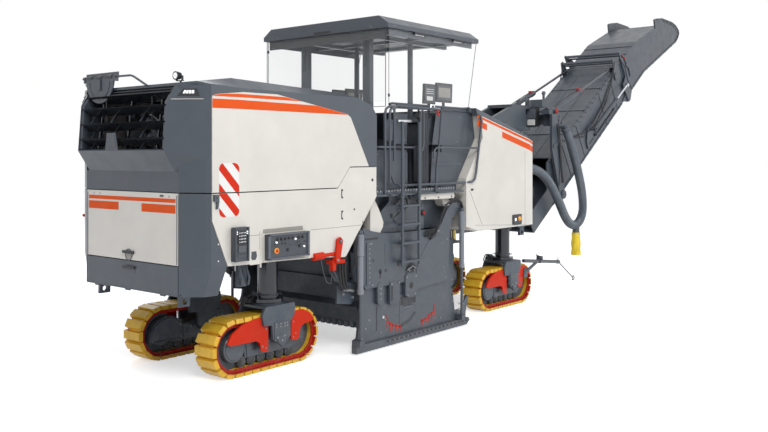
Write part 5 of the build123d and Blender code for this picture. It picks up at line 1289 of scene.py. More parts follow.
def make_rails():
    """Bent guard rails on both sides of the platform, their feet and the entry handles."""
    for rails in pair("guard_rails", "chassis", "grey_paint", "slate"):
        y = RAIL_Y
        rails.route(y, [(-4.662, 2.02), (-4.662, 3.1), (-4.64, 3.16), (-4.57, 3.195), (-4.47, 3.2)], 0.018,
            12)
        rails.route(y, [(-4.562, 2.2), (-4.562, 3.1), (-4.545, 3.15), (-4.5, 3.18), (-4.46, 3.185)], 0.018,
            12)
        rails.route(y, [(-4.466, 2.47), (-4.466, 3.15), (-4.452, 3.195), (-4.4, 3.215), (-3.42, 3.2),
            (-3.38, 3.175), (-3.42, 2.8), (-3.505, 2.337), (-3.52, 2.03)], 0.018, 12)
        rails.tube([(-4.562, y, 2.44), (-4.54, y, 2.3), (-4.47, y, 2.18), (-4.36, y, 2.14), (-2.78, y, 2.14),
            (-2.66, y + 0.05, 2.15), (-2.59, y + 0.052, 2.19), (-2.555, y + 0.052, 2.29),
            (-2.4, y + 0.052, 3.06), (-2.4, y + 0.04, 3.13), (-2.43, y - 0.02, 3.2)], 0.018, 12)
        rails.tube([(-4.815, y - 0.06, 2.65), (-4.78, y, 2.655), (-4.02, y, 2.655)], 0.015, 10)
        rails.tube([(-3.57, y, 2.5), (-3.55, y, 2.62), (-3.5, y, 2.655), (-2.78, y, 2.655),
            (-2.64, y + 0.05, 2.655), (-2.49, y + 0.052, 2.655)], 0.015, 10)
        rails.tube([(-3.49, y, 2.42), (-2.9, y, 2.42)], 0.014, 10)
        for x in (-4.6, -3.52, -2.62):
            rails.box((x - 0.035, x + 0.035), (1.19, 1.25), (2.015, 2.045))
            rails.bolts(1.25, 0.009, (x, 2.03))
        rails.paint("chrome").route(y - 0.024, [(-4.37, 3.012), (-4.08, 3.012)], 0.02, 12)
        rails.route(y, [(-3.66, 3.19), (-3.64, 3.25), (-3.56, 3.25), (-3.54, 3.19)], 0.01)
        rails.paint("red").post(-3.482, y, (3.205, 3.13), 0.013, 10)
        rails.bar((-3.482, y + 0.004, 3.15), (-3.482, y + 0.026, 3.11), 0.011, 10)
        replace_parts(rails.done(0.0), "rails")


make_rails()


@both_sides("ladder_trim", "chassis", "grey_paint", "slate", 0.002)
def ladder_trim(ladder):
    """Grips, step treads, feet and hinges of the ladders."""
    y = 1.29
    for x in (-4.372, -4.0):
        ladder.route(y, [(x, 1.26), (x, 1.18), (x + 0.03, 1.14), (x + 0.06, 1.14)], 0.019, 12)
        ladder.box((x - 0.035, x + 0.035), (1.19, 1.3), (1.975, 2.0))
        ladder.bolts(1.3, 0.01, (x, 1.987))
    for z in (1.36, 1.66, 1.96):
        for k in range(7):
            x = -4.345 + k * 0.0527
            ladder.post(x, y, (z + 0.016, z + 0.024), 0.01, 8, cut=0.002)
    ladder.route(y, [(-3.965, 2.03), (-3.965, 3.1), (-3.955, 3.15), (-3.92, 3.165), (-3.898, 3.13),
        (-3.898, 2.7), (-3.93, 2.6)], 0.014, 10)


def make_deck():
    """Deck edge grating, cream sill, skirt and the plates under the deck."""
    for side, word in SIDE_NAME.items():
        edge = Piece(f"deck_edge_{word}", "chassis", "steel", "slate", side)
        x = DECK_BACK + 0.02
        low, high = (1.15, 1.214)
        edge.box((DECK_BACK, -3.02), (low, high), (2.026, 2.066))
        edge.paint("steel")
        while x < -3.06:
            edge.prism([(x, 2.064), (x + 0.012, 2.088), (x + 0.03, 2.088), (x + 0.042, 2.064)], low, high)
            x += 0.06
        edge.done(0.001)

        deck = Piece(f"deck_grating_{word}", "chassis", "steel", "steel", side)
        for k in range(26):
            y = 0.14 + k * 0.036
            deck.box((-3.98, DECK_FRONT - 0.05), (y, y + 0.006), (2.032, 2.052))
        for k in range(14):
            x = -3.96 + k * 0.082
            deck.box((x, x + 0.005), (0.12, 1.05), (2.033, 2.044))
        deck.done(0.0)

        sill = Piece(f"deck_sill_{word}", "chassis", "white_paint", "white", side)
        sill.prism([(-3.861, 1.925), (-3.04, 1.917), (-3.017, 1.95), (-3.03, 2.003), (-3.861, 2.003)], 1.02,
            1.206)
        sill.prism([(-4.872, 1.998), (-4.8, 1.998), (-4.662, 1.78), (-4.6, 1.66), (-4.61, 1.6), (-4.67, 1.52),
            (-4.872, 1.52)], 1.03, 1.15)
        sill.prism([(-3.25, 1.917), (-3.1, 1.917), (-3.02, 1.86), (-3.03, 1.8), (-3.16, 1.8), (-3.22, 1.84)],
            1.0, 1.14)
        sill.paint("steel")
        for x in (-3.427, -3.75, -3.1):
            sill.bolts(1.206, 0.012, (x, 1.945))
        sill.paint("slate").prism([(-3.86, 2.0), (-3.02, 2.0), (-3.0, 2.018), (-3.02, 2.03), (-3.86, 2.03)],
            1.0, 1.2)
        sill.done(0.004)


make_deck()


@both_sides("tub_trim", "chassis", "grey_paint", "slate_dark", 0.003)
def tub(tub):
    """Side screens of the operator's place: rim, shell panels and the dark entry gap."""
    face = 1.11
    # entry gap: a dark slate sheet of painted shade in the opening, with the soft strip curtain
    tub.box((-3.745, -3.545), (face - SUNK, face + 0.004), (2.06, 3.14))
    for k in range(5):
        x = -3.745 + k * 0.0405
        tub.box((x + 0.002, x + 0.037), (face + 0.002, face + 0.008), (2.1, 3.12))
    # double rim at the top edge
    tub.paint("slate").route(1.1, [(-4.42, 3.235), (-4.36, 3.25), (-2.36, 3.25)], 0.017, 10)
    tub.route(1.118, [(-4.42, 3.19), (-2.4, 3.205)], 0.01)
    # pressed panels behind the rails
    tub.plate(face, 0.01, [(-4.78, 2.12), (-4.7, 2.08), (-4.06, 2.08), (-4.04, 2.14), (-4.04, 2.58),
        (-4.08, 2.62), (-4.74, 2.62), (-4.78, 2.56)])
    tub.plate(face, 0.01, [(-4.34, 2.7), (-4.06, 2.7), (-4.04, 3.12), (-4.3, 3.12)])
    tub.plate(face, 0.008, [(-3.5, 2.1), (-2.86, 2.1), (-2.82, 2.58), (-3.46, 2.6)])
    tub.plate(face, 0.008, [(-3.46, 2.7), (-2.78, 2.68), (-2.64, 3.16), (-3.36, 3.16)])
    tub.paint("trim_grey").plate(face, 0.018, [(-4.53, 2.74), (-4.38, 2.74), (-4.37, 3.02), (-4.46, 3.04),
        (-4.53, 2.98)])
    tub.paint("steel")
    for x, z in ((-4.7, 2.14), (-4.12, 2.14), (-4.12, 2.56), (-4.7, 2.56), (-3.44, 2.14), (-2.92, 2.14),
            (-3.4, 2.74), (-2.84, 2.74), (-3.32, 3.12), (-2.76, 3.12), (-4.28, 3.06), (-4.1, 2.76)):
        tub.bolts(face + 0.008, 0.009, (x, z))


@both_sides("console_controls", "chassis", "trim", "console", 0.004)
def consoles(desk):
    """Screens, joysticks, switches and lids of the two operator's consoles."""
    middle = 0.88
    for x0, x1, z0, z1 in ((-3.382, -3.105, 3.3, 3.593), (-3.073, -2.675, 3.34, 3.627)):
        desk.paint("black")
        # screen, leaning a little at its top
        y0, y1 = 0.88, 0.92
        desk.rings([[(x0 + lean, y0, z), (x1 + lean, y0, z), (x1 + lean, y1, z), (x0 + lean, y1, z)]
            for z, lean in ((z0, 0.0), (z0 + 0.02, 0.0), (z1, 0.015))])
        desk.paint("screen").box((x0 + 0.025, x1 - 0.018), (0.9195, 0.923), (z0 + 0.03, z1 - 0.035))
        desk.box((x0 + 0.025, x1 - 0.018), (0.877, 0.8805), (z0 + 0.03, z1 - 0.035))
        # the right screen's marks take the darker copy of the white paint: painted shade
        desk.paint("signal_white" if x1 < -3.1 else "recess")
        for flip in (-1, 1):
            spot = (0.9225, 0.9245) if flip > 0 else (0.8755, 0.8775)
            if x1 < -3.1:
                desk.box((x0 + 0.06, x1 - 0.07), spot, (z0 + 0.05, z0 + 0.11))
                for row in range(3):
                    desk.box((x0 + 0.05, x1 - 0.05), spot, (z0 + 0.15 + row * 0.03, z0 + 0.157 + row * 0.03))
            else:
                desk.box((x0 + 0.05, x1 - 0.05), spot, (z0 + 0.07, z1 - 0.07))
        desk.paint("console").post((x0 + x1) / 2, 0.9, (3.12, z0 + 0.03), 0.022, 14)
    # sloping desk, joystick and buttons
    desk.prism([(-3.62, 3.02), (-3.3, 3.13), (-2.66, 3.2), (-2.58, 3.17), (-2.62, 3.02)], 0.74, 1.04)
    desk.paint("black")
    for x in (-3.46, -3.22):
        desk.post(x, middle, (3.08, 3.15), 0.034, 18, far=0.018)
        desk.bar((x, middle, 3.14), (x - 0.01, middle, 3.26), 0.014, 12, far=0.02)
        desk.bar((x - 0.01, middle, 3.25), (x - 0.012, middle, 3.285), 0.022, 14, cut=0.008)
    for k in range(6):
        for row in range(3):
            x, y = -3.08 + k * 0.07, (0.79 + row * 0.09)
            z = 3.13 + (x + 3.3) * 0.11
            desk.paint("black" if (k + row) % 3 else "chain_red")
            desk.post(x, y, (z, z + 0.026), 0.016, 12, cut=0.003)
    desk.paint("amber").post(-2.7, 0.8, (3.19, 3.225), 0.02, 14)


def cushion_point(middle, way, size, u, v):
    """Point of a cushion's middle sheet, u and v from -1 to 1; its sides pull in between the corners."""
    in_u = 1.0 - 0.035 * (1.0 - v * v)
    in_v = 1.0 - 0.03 * (1.0 - u * u)
    return Vector(middle) + way * (u * in_u * size[0] / 2) + Vector(OUT) * (v * in_v * size[1] / 2)


def cushion(name, middle, size, way, crown, seams):
    """Crowned sewn cushion: a rounded closed form with piped edge and sewn channels.

    size is (length, width, thickness) on the axes (way, y, normal of way and y);
    seams are (u, None) across and (None, v) along."""
    normal = way.cross(Vector(OUT)).normalized() * -1.0
    made = bmesh.new()
    rows, columns = 26, 30
    along_u = [2.0 * r / rows - 1.0 for r in range(rows + 1)]
    along_v = [2.0 * c / columns - 1.0 for c in range(columns + 1)]
    grids = []
    for face in (1, -1):
        grid = []
        for r, u in enumerate(along_u):
            line = []
            for c, v in enumerate(along_v):
                edge = (1.0 - abs(u) ** 6) * (1.0 - abs(v) ** 6)
                rise = size[2] * 0.5 * (edge ** 0.3)
                if face > 0:
                    rise += crown * (1.0 - u * u) * (1.0 - v * v)
                    for seam_u, seam_v in seams:
                        if seam_u is not None:
                            rise -= 0.011 * math.exp(-((u - seam_u) / 0.045) ** 2) * edge
                        if seam_v is not None:
                            rise -= 0.011 * math.exp(-((v - seam_v) / 0.04) ** 2) * edge
                    # faint creases
                    rise += 0.0035 * math.sin(9.0 * u + 4.0 * v) * math.sin(7.0 * v - 2.0 * u) * edge
                spot = cushion_point(middle, way, size, u, v) + normal * (face * rise)
                if face < 0 and (r in (0, rows) or c in (0, columns)):
                    line.append(grids[0][r][c])
                else:
                    line.append(made.verts.new(spot))
            grid.append(line)
        grids.append(grid)
    for face, grid in zip((1, -1), grids):
        for r in range(rows):
            for c in range(columns):
                corners = [grid[r][c], grid[r + 1][c], grid[r + 1][c + 1], grid[r][c + 1]]
                made.faces.new(corners if face < 0 else corners[::-1])
    bmesh.ops.recalc_face_normals(made, faces=made.faces)
    for polygon in made.faces:
        polygon.smooth = True
    mesh = bpy.data.meshes.new(name)
    made.to_mesh(mesh)
    made.free()
    mesh.materials.append(MATERIALS["seat"])
    piece = bpy.data.objects.new(name, mesh)
    scene.collection.objects.link(piece)
    smooth = piece.modifiers.new("smooth", "SUBSURF")
    smooth.levels = smooth.render_levels = 1
    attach(piece, "chassis")
    # piping round the seam
    us, vs = along_u[::2], along_v[::2]
    rim = [(u, -1.0) for u in us] + [(1.0, v) for v in vs]
    rim += [(-u, -v) for u, v in rim]
    line = [cushion_point(middle, way, size, u, v) for u, v in rim]
    line = [point for point, after in zip(line, line[1:] + line[:1]) if (after - point).length > 0.004]
    piping = Piece(f"{name}_piping", "chassis", "seat_cover", "black")
    piping.tube(line, 0.0055, 6, loop=True)
    piping.done(0.0)
    return piece


def make_seats():
    """Sewn seat and back cushions in place of the plain pads."""
    pieces = []
    for side, word in SIDE_NAME.items():
        pieces.append(cushion(f"seat_cushion_{word}", (-3.845, side * 0.33, 2.516), (0.43, 0.45, 0.088),
            Vector((1, 0, 0)), 0.012, [(-0.45, None), (0.1, None), (None, -0.55), (None, 0.55)]))
        pieces.append(cushion(f"back_cushion_{word}", (-4.098, side * 0.33, 2.838), (0.47, 0.43, 0.058),
            Vector((-0.07, 0, 0.49)).normalized(), 0.01, [(-0.5, None), (0.0, None), (0.5, None),
            (None, -0.6), (None, 0.6)]))
    for piece in pieces:
        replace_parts(piece, "seat_pads")


make_seats()


def make_pane_edges():
    """Dark ground edges of the canopy's panes, with their clips."""
    edges = Piece("pane_edges", "canopy", "trim", "slate_dark")
    rear, low, top = -4.552, 3.2, 4.25
    for edges.flip in SIDES:
        edges.post(rear, 1.146, (low, top), 0.005, 8, cut=0.001)
        y = 1.166
        edges.route(y, [(-4.508, top), (-4.508, low), (-2.612, low), (-2.385, top)], 0.0045)
        for z in (3.35, 4.1):
            edges.box((-4.52, -4.495), (1.158, 1.174), (z - 0.02, z + 0.02))
    edges.disc(rear, low, (-1.146, 1.146), 0.004, 8, cut=0.001)
    edges.done(0.0)


make_pane_edges()


def make_canopy_trim():
    """Folded rim, beams, dark bands, flush work lights and bolts under the roof."""
    roof = Piece("canopy_trim", "canopy", "grey_paint", "slate")
    back, front, half, low = -4.57, -2.37, 1.2, 4.25
    # folded rim round the lower edge
    roof.tube([(back + 0.02, -half + 0.02, low + 0.012), (front - 0.02, -half + 0.02, low + 0.012),
        (front - 0.02, half - 0.02, low + 0.012), (back + 0.02, half - 0.02, low + 0.012)], 0.014, 8,
        loop=True)
    for y in (-0.62, 0.62):
        roof.box((back + 0.06, front - 0.06), (y - 0.03, y + 0.03), (low - 0.058, low + 0.004))
    for x in (-4.2, -3.46, -2.72):
        roof.box((x - 0.028, x + 0.028), (-half + 0.06, half - 0.06), (low - 0.04, low + 0.003))
    roof.paint("black").box((back - 0.001, back + 0.004), (-0.16, 0.16), (low + 0.01, low + 0.046))
    # dark band over the rear pane, side bands and flush work lights
    roof.box((back + 0.052, back + 0.066), (-1.13, 1.13), (low - 0.13, low + 0.004))
    for roof.flip in SIDES:
        roof.paint("slate").box((back + 0.07, front - 0.1), (1.128, 1.142), (low - 0.085, low + 0.004))
        for x in (-3.83, -2.89):
            roof.paint("black").box((x - 0.14, x + 0.14), (1.146, 1.196), (low - 0.032, low + 0.006))
            roof.paint("lamp_white")
            for shift in (-0.07, 0.0, 0.07):
                roof.post(x + shift, 1.171, (low - 0.03, low - 0.036), 0.02, 14, cut=0.001)
    roof.paint("steel")
    for roof.flip in SIDES:
        for x in (back + 0.14, -3.46, front - 0.16):
            roof.bolts(half - 0.001, 0.007, (x, low + 0.03))
        roof.hex_bolt((back + 0.001, 0.9, low + 0.03), (-1, 0, 0), 0.007)
    roof.done(0.003)
    posts = Piece("canopy_post_trim", "canopy", "grey_paint", "slate_dark")
    for posts.flip in SIDES:
        # channel in the rear posts, a dark slate strip of painted shade, and clamp plates at their top
        posts.box((-4.32, -4.315), (0.575, 0.625), (3.78, 4.22))
        posts.paint("slate").box((-4.36, -4.18), (0.54, 0.66), (4.185, 4.215))
        posts.box((-3.27, -3.15), (0.48, 0.58), (4.19, 4.216))
        posts.paint("steel")
        for x in (-4.335, -4.205):
            for y in (0.56, 0.64):
                posts.hex_bolt((x, y, 4.185), (0, 0, -1), 0.01)
        posts.paint("slate_dark")
    posts.done(0.002)


make_canopy_trim()


# ---------------------------------------------------------------- front body
BODY_FRONT = -0.905
FACE_Y = 1.25


def roof_line(x):
    """Height of the front body's side edge under its sloping roof."""
    return 2.815 - 0.226 * (x - BODY_FRONT)


def make_front_trim():
    """Painted stripes, roof edge, hatch, seams, lamp and grip of the front body."""
    for side, word in SIDE_NAME.items():
        skin = (FACE_Y - SUNK, FACE_Y + PROUD)
        trim = Piece(f"front_stripes_{word}", "chassis", "trim", "orange", side)
        # thin stripe, then the thick one in two runs
        runs = ((-2.47, -0.905, 0.012, 0.05), (-2.47, -2.21, 0.088, 0.182), (-1.762, -0.905, 0.088, 0.182))
        for x0, x1, top, foot in runs:
            trim.prism([(x0, roof_line(x0) - foot), (x1, roof_line(x1) - foot), (x1, roof_line(x1) - top),
                (x0, roof_line(x0) - top)], *skin)
        corner = (-0.74, 1.215)
        for top, foot in ((0.012, 0.05), (0.088, 0.182)):
            near, far = roof_line(-0.905), roof_line(-0.74)
            inner = [(-0.905, 1.2495, near - top), (-0.905, 1.2495, near - foot),
                (corner[0], corner[1] - 0.0005, far - foot), (corner[0], corner[1] - 0.0005, far - top)]
            outer = [(x + 0.0006, y + 0.0017, z) for x, y, z in inner]
            trim.rings([inner, outer])
        trim.done(0.0)
        edge = Piece(f"front_edge_{word}", "chassis", "grey_paint", "slate", side)
        x0, x1 = -2.465, -0.93
        edge.rings([[(x, 1.235, roof_line(x) - 0.002), (x, 1.235, roof_line(x) + 0.022),
            (x, 1.215, roof_line(x) + rise), (x, 1.02, roof_line(x) + rise), (x, 1.0, roof_line(x) - 0.002)]
            for x, rise in ((x0, 0.095), (-1.6, 0.075), (x1, 0.045))])
        edge.prism([(-2.56, 3.2), (-2.44, 3.19), (-2.43, 3.245), (-2.55, 3.275)], 1.0, 1.15)
        # seams pressed into the side sheet
        edge.paint("slate_dark").prism([(-2.691, 2.015), (-2.355, 1.499), (-2.35, 1.502), (-2.686, 2.018)],
            *skin)
        edge.prism([(-2.55, 1.49), (-1.0, 1.4), (-1.0, 1.404), (-2.55, 1.494)], *skin)
        edge.box((-1.05, -1.046), skin, (1.42, 2.62))
        # grip on the rounded corner
        edge.paint("black")
        for z in (1.85, 2.009):
            edge.bar((-0.69, 1.15, z), (-0.66, 1.185, z), 0.008, 8)
        edge.tube([(-0.664, 1.182, 1.845), (-0.66, 1.187, 1.93), (-0.664, 1.182, 2.014)], 0.009, 8)
        edge.bar((-0.7, 1.14, 2.035), (-0.688, 1.156, 2.035), 0.018, 14)
        edge.done(0.003)
        lamp = Piece(f"front_lamp_{word}", "chassis", "trim", "black", side)
        lamp.prism(rounded((-1.455, -1.17), (1.425, 1.59), 0.018), FACE_Y - 0.002, FACE_Y + 0.01)
        lamp.paint("slate_dark").prism(rounded((-1.435, -1.19), (1.445, 1.57), 0.012), FACE_Y + 0.008,
            FACE_Y + 0.014)
        lamp.paint("amber").disc(-1.257, 1.52, (FACE_Y + 0.012, FACE_Y + 0.038), 0.042, 24, far=0.034,
            cut=0.006)
        lamp.paint("lamp_white").disc(-1.375, 1.51, (FACE_Y + 0.012, FACE_Y + 0.024), 0.024, 24, cut=0.004)
        lamp.paint("steel")
        for x in (-1.445, -1.18):
            lamp.bolts(FACE_Y + 0.01, 0.006, (x + 0.002, 1.437))
        lamp.done(0.002)
    hatch = Piece("front_hatch", "chassis", "white_paint", "white")
    for hatch.flip in SIDES:
        low, high = (0.32, 0.97)
        rise = 0.195
        rings = []
        for up in (0.0, rise * 0.85, rise):
            # its lid draws in a little from the rim
            x0, x1 = (-2.06 + up * 0.4, -1.14 - up * 0.8) if up else (-2.08, -1.12)
            y0, y1 = low + up * 0.3, high - up * 0.3
            rings.append([(x, y, roof_line(x) - 0.003 + up) for x, y in
                ((x0, y0), (x1, y0), (x1, y1), (x0, y1))])
        hatch.rings(rings)
        hatch.paint("black")
        for x in (-1.95, -1.28):
            hatch.box((x - 0.04, x + 0.04), (0.952, 0.985), (roof_line(x) + 0.13, roof_line(x) + 0.15))
        hatch.paint("steel")
        for x in (-2.02, -1.6, -1.2):
            for y in (0.38, 0.91):
                hatch.hex_bolt((x, y, roof_line(x) + rise - 0.004), (0, 0, 1), 0.009)
        hatch.paint("white")
    hatch.done(0.008)


make_front_trim()


# ---------------------------------------------------------------- swivel tower
SLEW_X = 0.8


def make_mast_trim():
    """Flanges, bolts, slewing cylinders and pipes on the mast."""
    mast = Piece("mast_trim", "chassis", "frame_paint", "slate")
    for mast.flip in SIDES:
        face = (0.259, 0.275)
        mast.prism([(-0.55, 3.0), (-0.45, 3.0), (0.1, 3.1), (0.1, 3.16), (-0.55, 3.06)], *face)
        mast.box((-0.6, -0.52), face, (2.62, 3.02))
        mast.box((-0.1, -0.02), face, (2.72, 3.05))
        # slewing cylinder from the front body to the tower's drum
        mast.paint("slate").bar((-0.52, 0.42, 2.9), (0.16, 0.335, 2.9), 0.052, 22, cut=0.006)
        mast.bar((0.14, 0.337, 2.9), (0.19, 0.332, 2.9), 0.06, 22, cut=0.005)
        mast.box((-0.62, -0.5), (0.26, 0.46), (2.84, 2.96))
        mast.paint("chrome").bar((0.18, 0.333, 2.9), (0.4, 0.305, 2.9), 0.027, 18)
        mast.paint("slate").prism([(0.38, 2.86), (0.5, 2.86), (0.52, 2.9), (0.5, 2.94), (0.38, 2.94)], 0.262,
            0.345)
        mast.paint("rubber")
        for k in range(3):
            z = 2.8 - k * 0.035
            mast.tube([(-0.6, 0.29, z), (-0.2, 0.3 + 0.01 * k, z - 0.02), (0.15, 0.3 + 0.01 * k, z - 0.05),
                (0.32, 0.275, z - 0.12)], 0.013, 8)
        mast.paint("steel").bolts(0.274, 0.012, (-0.56, 2.7), (-0.56, 2.82), (-0.56, 2.95), (-0.06, 2.78),
            (-0.06, 2.9), (-0.06, 3.0), (-0.48, 3.03), (0.02, 3.12), (0.3, 3.0), (0.45, 3.0))
    mast.paint("slate")
    for z in (2.395, 2.98):
        for k in range(14):
            turn = math.pi * (k - 6.5) / 9.0
            mast.hex_bolt((SLEW_X + 0.225 * math.cos(turn), 0.225 * math.sin(turn), z), (0, 0, -1), 0.012)
    mast.done(0.003)


make_mast_trim()


def make_tower_trim():
    """Camera boxes, post, valve block, webs and hoses of the swivel tower."""
    tower = Piece("tower_trim", "swivel_tower", "grey_paint", "slate")
    # valve block and post on the cross beam
    tower.box((0.92, 1.16), (-0.3, 0.16), (3.318, 3.46))
    tower.box((0.98, 1.13), (-0.46, -0.2), (3.45, 3.6))
    tower.post(1.1, -0.42, (3.58, 3.72), 0.024, 14)
    tower.post(1.1, -0.42, (3.7, 3.76), 0.04, 18, far=0.034, cut=0.006)
    tower.box((0.95, 1.1), (-0.62, -0.44), (3.318, 3.4))
    for y in (-0.1, 0.1):
        tower.prism([(0.97, 3.32), (1.16, 3.32), (1.16, 3.6), (1.1, 3.64), (1.02, 3.6)], y, y + 0.03)
    for k in range(4):
        tower.post(0.96 + k * 0.055, -0.25, (3.45, 3.5), 0.015, 10)
    # hanging camera box; its pale glass is signal-white paint, a painted reflection
    tower.box((0.93, 1.07), (-0.36, -0.14), (3.08, 3.12))
    tower.paint("black").prism([(0.925, 3.095), (1.05, 3.095), (1.05, 3.435), (0.935, 3.435)], -0.365, -0.315)
    tower.box((0.925, 0.94), (-0.365, -0.145), (3.095, 3.435))
    tower.paint("trim_grey").box((0.918, 0.926), (-0.345, -0.165), (3.24, 3.42))
    tower.paint("signal_white").box((0.9175, 0.926), (-0.335, -0.175), (3.115, 3.225))
    tower.paint("slate")
    for tower.flip in SIDES:
        # legs: welded webs, pin caps and pipes
        outer = (0.674, 0.69)
        tower.prism([(1.0, 2.68), (1.23, 2.76), (1.25, 3.1), (1.27, 3.3), (1.23, 3.3), (1.2, 3.08),
            (1.16, 2.8), (1.0, 2.74)], *outer)
        tower.prism([(1.23, 1.98), (1.27, 1.97), (1.3, 2.78), (1.25, 2.78)], *outer)
        tower.box((1.12, 1.16), (0.4, 0.66), (3.1, 3.33))
        tower.disc(1.4, 1.8, (0.674, 0.705), 0.085, 28, cut=0.008)
        tower.disc(1.4, 1.8, (0.704, 0.716), 0.045, 22, cut=0.004)
        tower.box((1.3, 1.43), (0.6, 0.7), (3.14, 3.18))
        tower.paint("steel")
        for k in range(5):
            turn = 2 * math.pi * k / 5
            tower.bolts(0.705, 0.009, (1.4 + 0.064 * math.cos(turn), 1.8 + 0.064 * math.sin(turn)))
        tower.bolts(0.674, 0.011, (1.04, 2.72), (1.1, 2.74), (1.25, 2.6), (1.26, 2.4), (1.26, 2.2),
            (1.2, 3.24), (1.18, 3.16))
        tower.paint("chain_red").disc(1.245, 3.385, (0.45, 0.462), 0.048, 20, cut=0.004)
        tower.disc(1.245, 3.385, (0.612, 0.628), 0.048, 20, cut=0.004)
        tower.paint("rubber")
        for k in range(3):
            tower.tube([(1.0 + k * 0.03, 0.3, 3.34), (1.02 + k * 0.03, 0.5, 3.4 + k * 0.02),
                (1.1 + k * 0.02, 0.62, 3.3), (1.16 + k * 0.02, 0.69, 3.05), (1.2 + k * 0.02, 0.7, 2.75),
                (1.27 + k * 0.015, 0.7, 2.3), (1.34 + k * 0.01, 0.7, 2.02)], 0.012, 8)
        tower.paint("slate")
    tower.done(0.003)


make_tower_trim()


# ---------------------------------------------------------------- discharge conveyor
LUFF = (1.4, 1.8)
LEAN, HEAD_LEAN = math.radians(33.3), math.radians(24.0)
BELT_V, COVER_V, WALL_Y = -0.045, 0.755, 0.58
FOLD_AHEAD, KNEE_U = 3.764, 4.914
HEAD = 2.15


def leaning(foot, lean, u, v):
    """Point at length u and height v from a foot, on a leaning line."""
    cos, sin = math.cos(lean), math.sin(lean)
    return foot[0] + u * cos - v * sin, foot[1] + u * sin + v * cos


def along(u, v):
    """Point on the lower section, from its pivot."""
    return leaning(LUFF, LEAN, u, v)


def ahead(u, v):
    """Point on the head beyond the belt's bend."""
    return leaning(along(KNEE_U, BELT_V), HEAD_LEAN, u, v)


def laid(place, *points):
    """Outline of (u, v) points, put in place on the lower section or on the head."""
    return [place(u, v) for u, v in points]


def strip(place, start, end, v, deep):
    """Band of the given depth between two lengths."""
    return laid(place, (start, v), (end, v), (end, v + deep), (start, v + deep))


def make_lower_trim():
    """Flanges, bolts, cover joints, cables, cross bar and rollers of the lower section."""
    trim = Piece("discharge_lower_trim", "discharge_lower", "grey_paint", "slate")
    up = (-math.sin(LEAN), 0, math.cos(LEAN))
    end = FOLD_AHEAD - 0.012
    for trim.flip in SIDES:
        wall = (WALL_Y - SUNK, WALL_Y + 0.013)
        trim.prism(strip(along, 0.02, end, COVER_V - 0.045, 0.046), *wall)
        trim.prism(strip(along, -0.3, 3.46, BELT_V, 0.036), *wall)
        for u in (0.62, 1.32, 2.55, 3.2):
            trim.plate(WALL_Y, 0.01, laid(along, (u, BELT_V + 0.03), (u + 0.012, BELT_V + 0.03),
                (u + 0.012, COVER_V - 0.04), (u, COVER_V - 0.04)))
        # stiffening plate round the knee and the cross bar's plates
        trim.prism(laid(along, (3.42, 0.56), (3.7, 0.56), (3.7, 0.74), (3.655, 0.8), (3.6, 1.02), (3.5, 1.03),
            (3.42, 0.8)), WALL_Y + 0.012, WALL_Y + 0.03)
        trim.paint("black")
        for k in range(20):
            trim.bolts(WALL_Y + 0.013, 0.012, along(0.2 + k * 0.18, COVER_V - 0.022))
            x, z = along(0.2 + k * 0.18, COVER_V)
            trim.hex_bolt((x, WALL_Y - 0.03, z), up, 0.011)
        for k in range(14):
            trim.bolts(WALL_Y + 0.013, 0.01, along(0.3 + k * 0.23, BELT_V + 0.018))
        trim.disc(*along(3.47, 0.7), (WALL_Y + 0.028, WALL_Y + 0.034), 0.026, 18)
        # cables from the hose's head to the knee
        trim.paint("rubber")
        for sag, rise in ((0.1, 0.0), (0.18, 0.012)):
            route = [(1.05, 0.62), (1.45, 0.56 - sag), (2.05, 0.5 - sag), (2.65, 0.56 - sag * 0.8),
                (3.15, 0.7 - sag * 0.4), (3.45, 0.84), (3.55, 0.95)]
            trim.route(WALL_Y + 0.02 + rise, laid(along, *route), 0.01)
        # spring and its bracket beside the folding cylinder
        trim.paint("slate").prism(laid(along, (1.5, 0.05), (1.74, 0.05), (1.9, 0.26), (1.84, 0.42),
            (1.7, 0.42), (1.52, 0.22)), WALL_Y + 0.01, WALL_Y + 0.03)
        trim.disc(*along(1.8, 0.345), (WALL_Y, 0.65), 0.034, 18)
        turns, coil = 26, []
        for k in range(turns * 8 + 1):
            u, turn = 1.98 + 0.95 * k / (turns * 8), 2 * math.pi * k / 8
            x, z = along(u, 0.12 + 0.019 * math.cos(turn))
            coil.append((x, 0.616 + 0.019 * math.sin(turn), z))
        trim.tube(coil, 0.0055, 6)
        (x0, z0), (x1, z1) = along(1.6, 0.12), along(3.1, 0.12)
        trim.bar((x0, 0.616, z0), (x1, 0.616, z1), 0.01, 10)
        for u in (1.94, 2.96):
            x, z = along(u, 0.12)
            trim.box((x - 0.022, x + 0.022), (WALL_Y, 0.64), (z - 0.026, z + 0.026))
    # cover joints, handles and ribs
    for u in (0.95, 1.85, 2.75):
        trim.prism(strip(along, u, u + 0.07, COVER_V - 0.001, 0.012), -0.575, 0.575)
        trim.paint("steel")
        for k in range(7):
            x, z = along(u + 0.035, COVER_V + 0.011)
            trim.hex_bolt((x, -0.48 + k * 0.16, z), up, 0.01)
        trim.paint("slate")
    for y in (-0.2, 0.2):
        trim.prism(strip(along, 0.16, 3.3, COVER_V - 0.001, 0.008), y - 0.012, y + 0.012)
    trim.disc(*along(3.53, 0.99), (-WALL_Y - 0.028, WALL_Y + 0.028), 0.028, 16)
    trim.disc(*along(3.6, 0.9), (-WALL_Y - 0.028, WALL_Y + 0.028), 0.02, 14)
    # cross ribs and return rollers under the belt
    for k in range(7):
        u = 0.15 + k * 0.5
        trim.prism(strip(along, u, u + 0.05, BELT_V - 0.03, 0.031), -0.57, 0.57)
    trim.paint("cast")
    for k in range(3):
        trim.disc(*along(0.65 + k, BELT_V - 0.045), (-0.5, 0.5), 0.038, 20, cut=0.008)
    trim.done(0.002)


make_lower_trim()


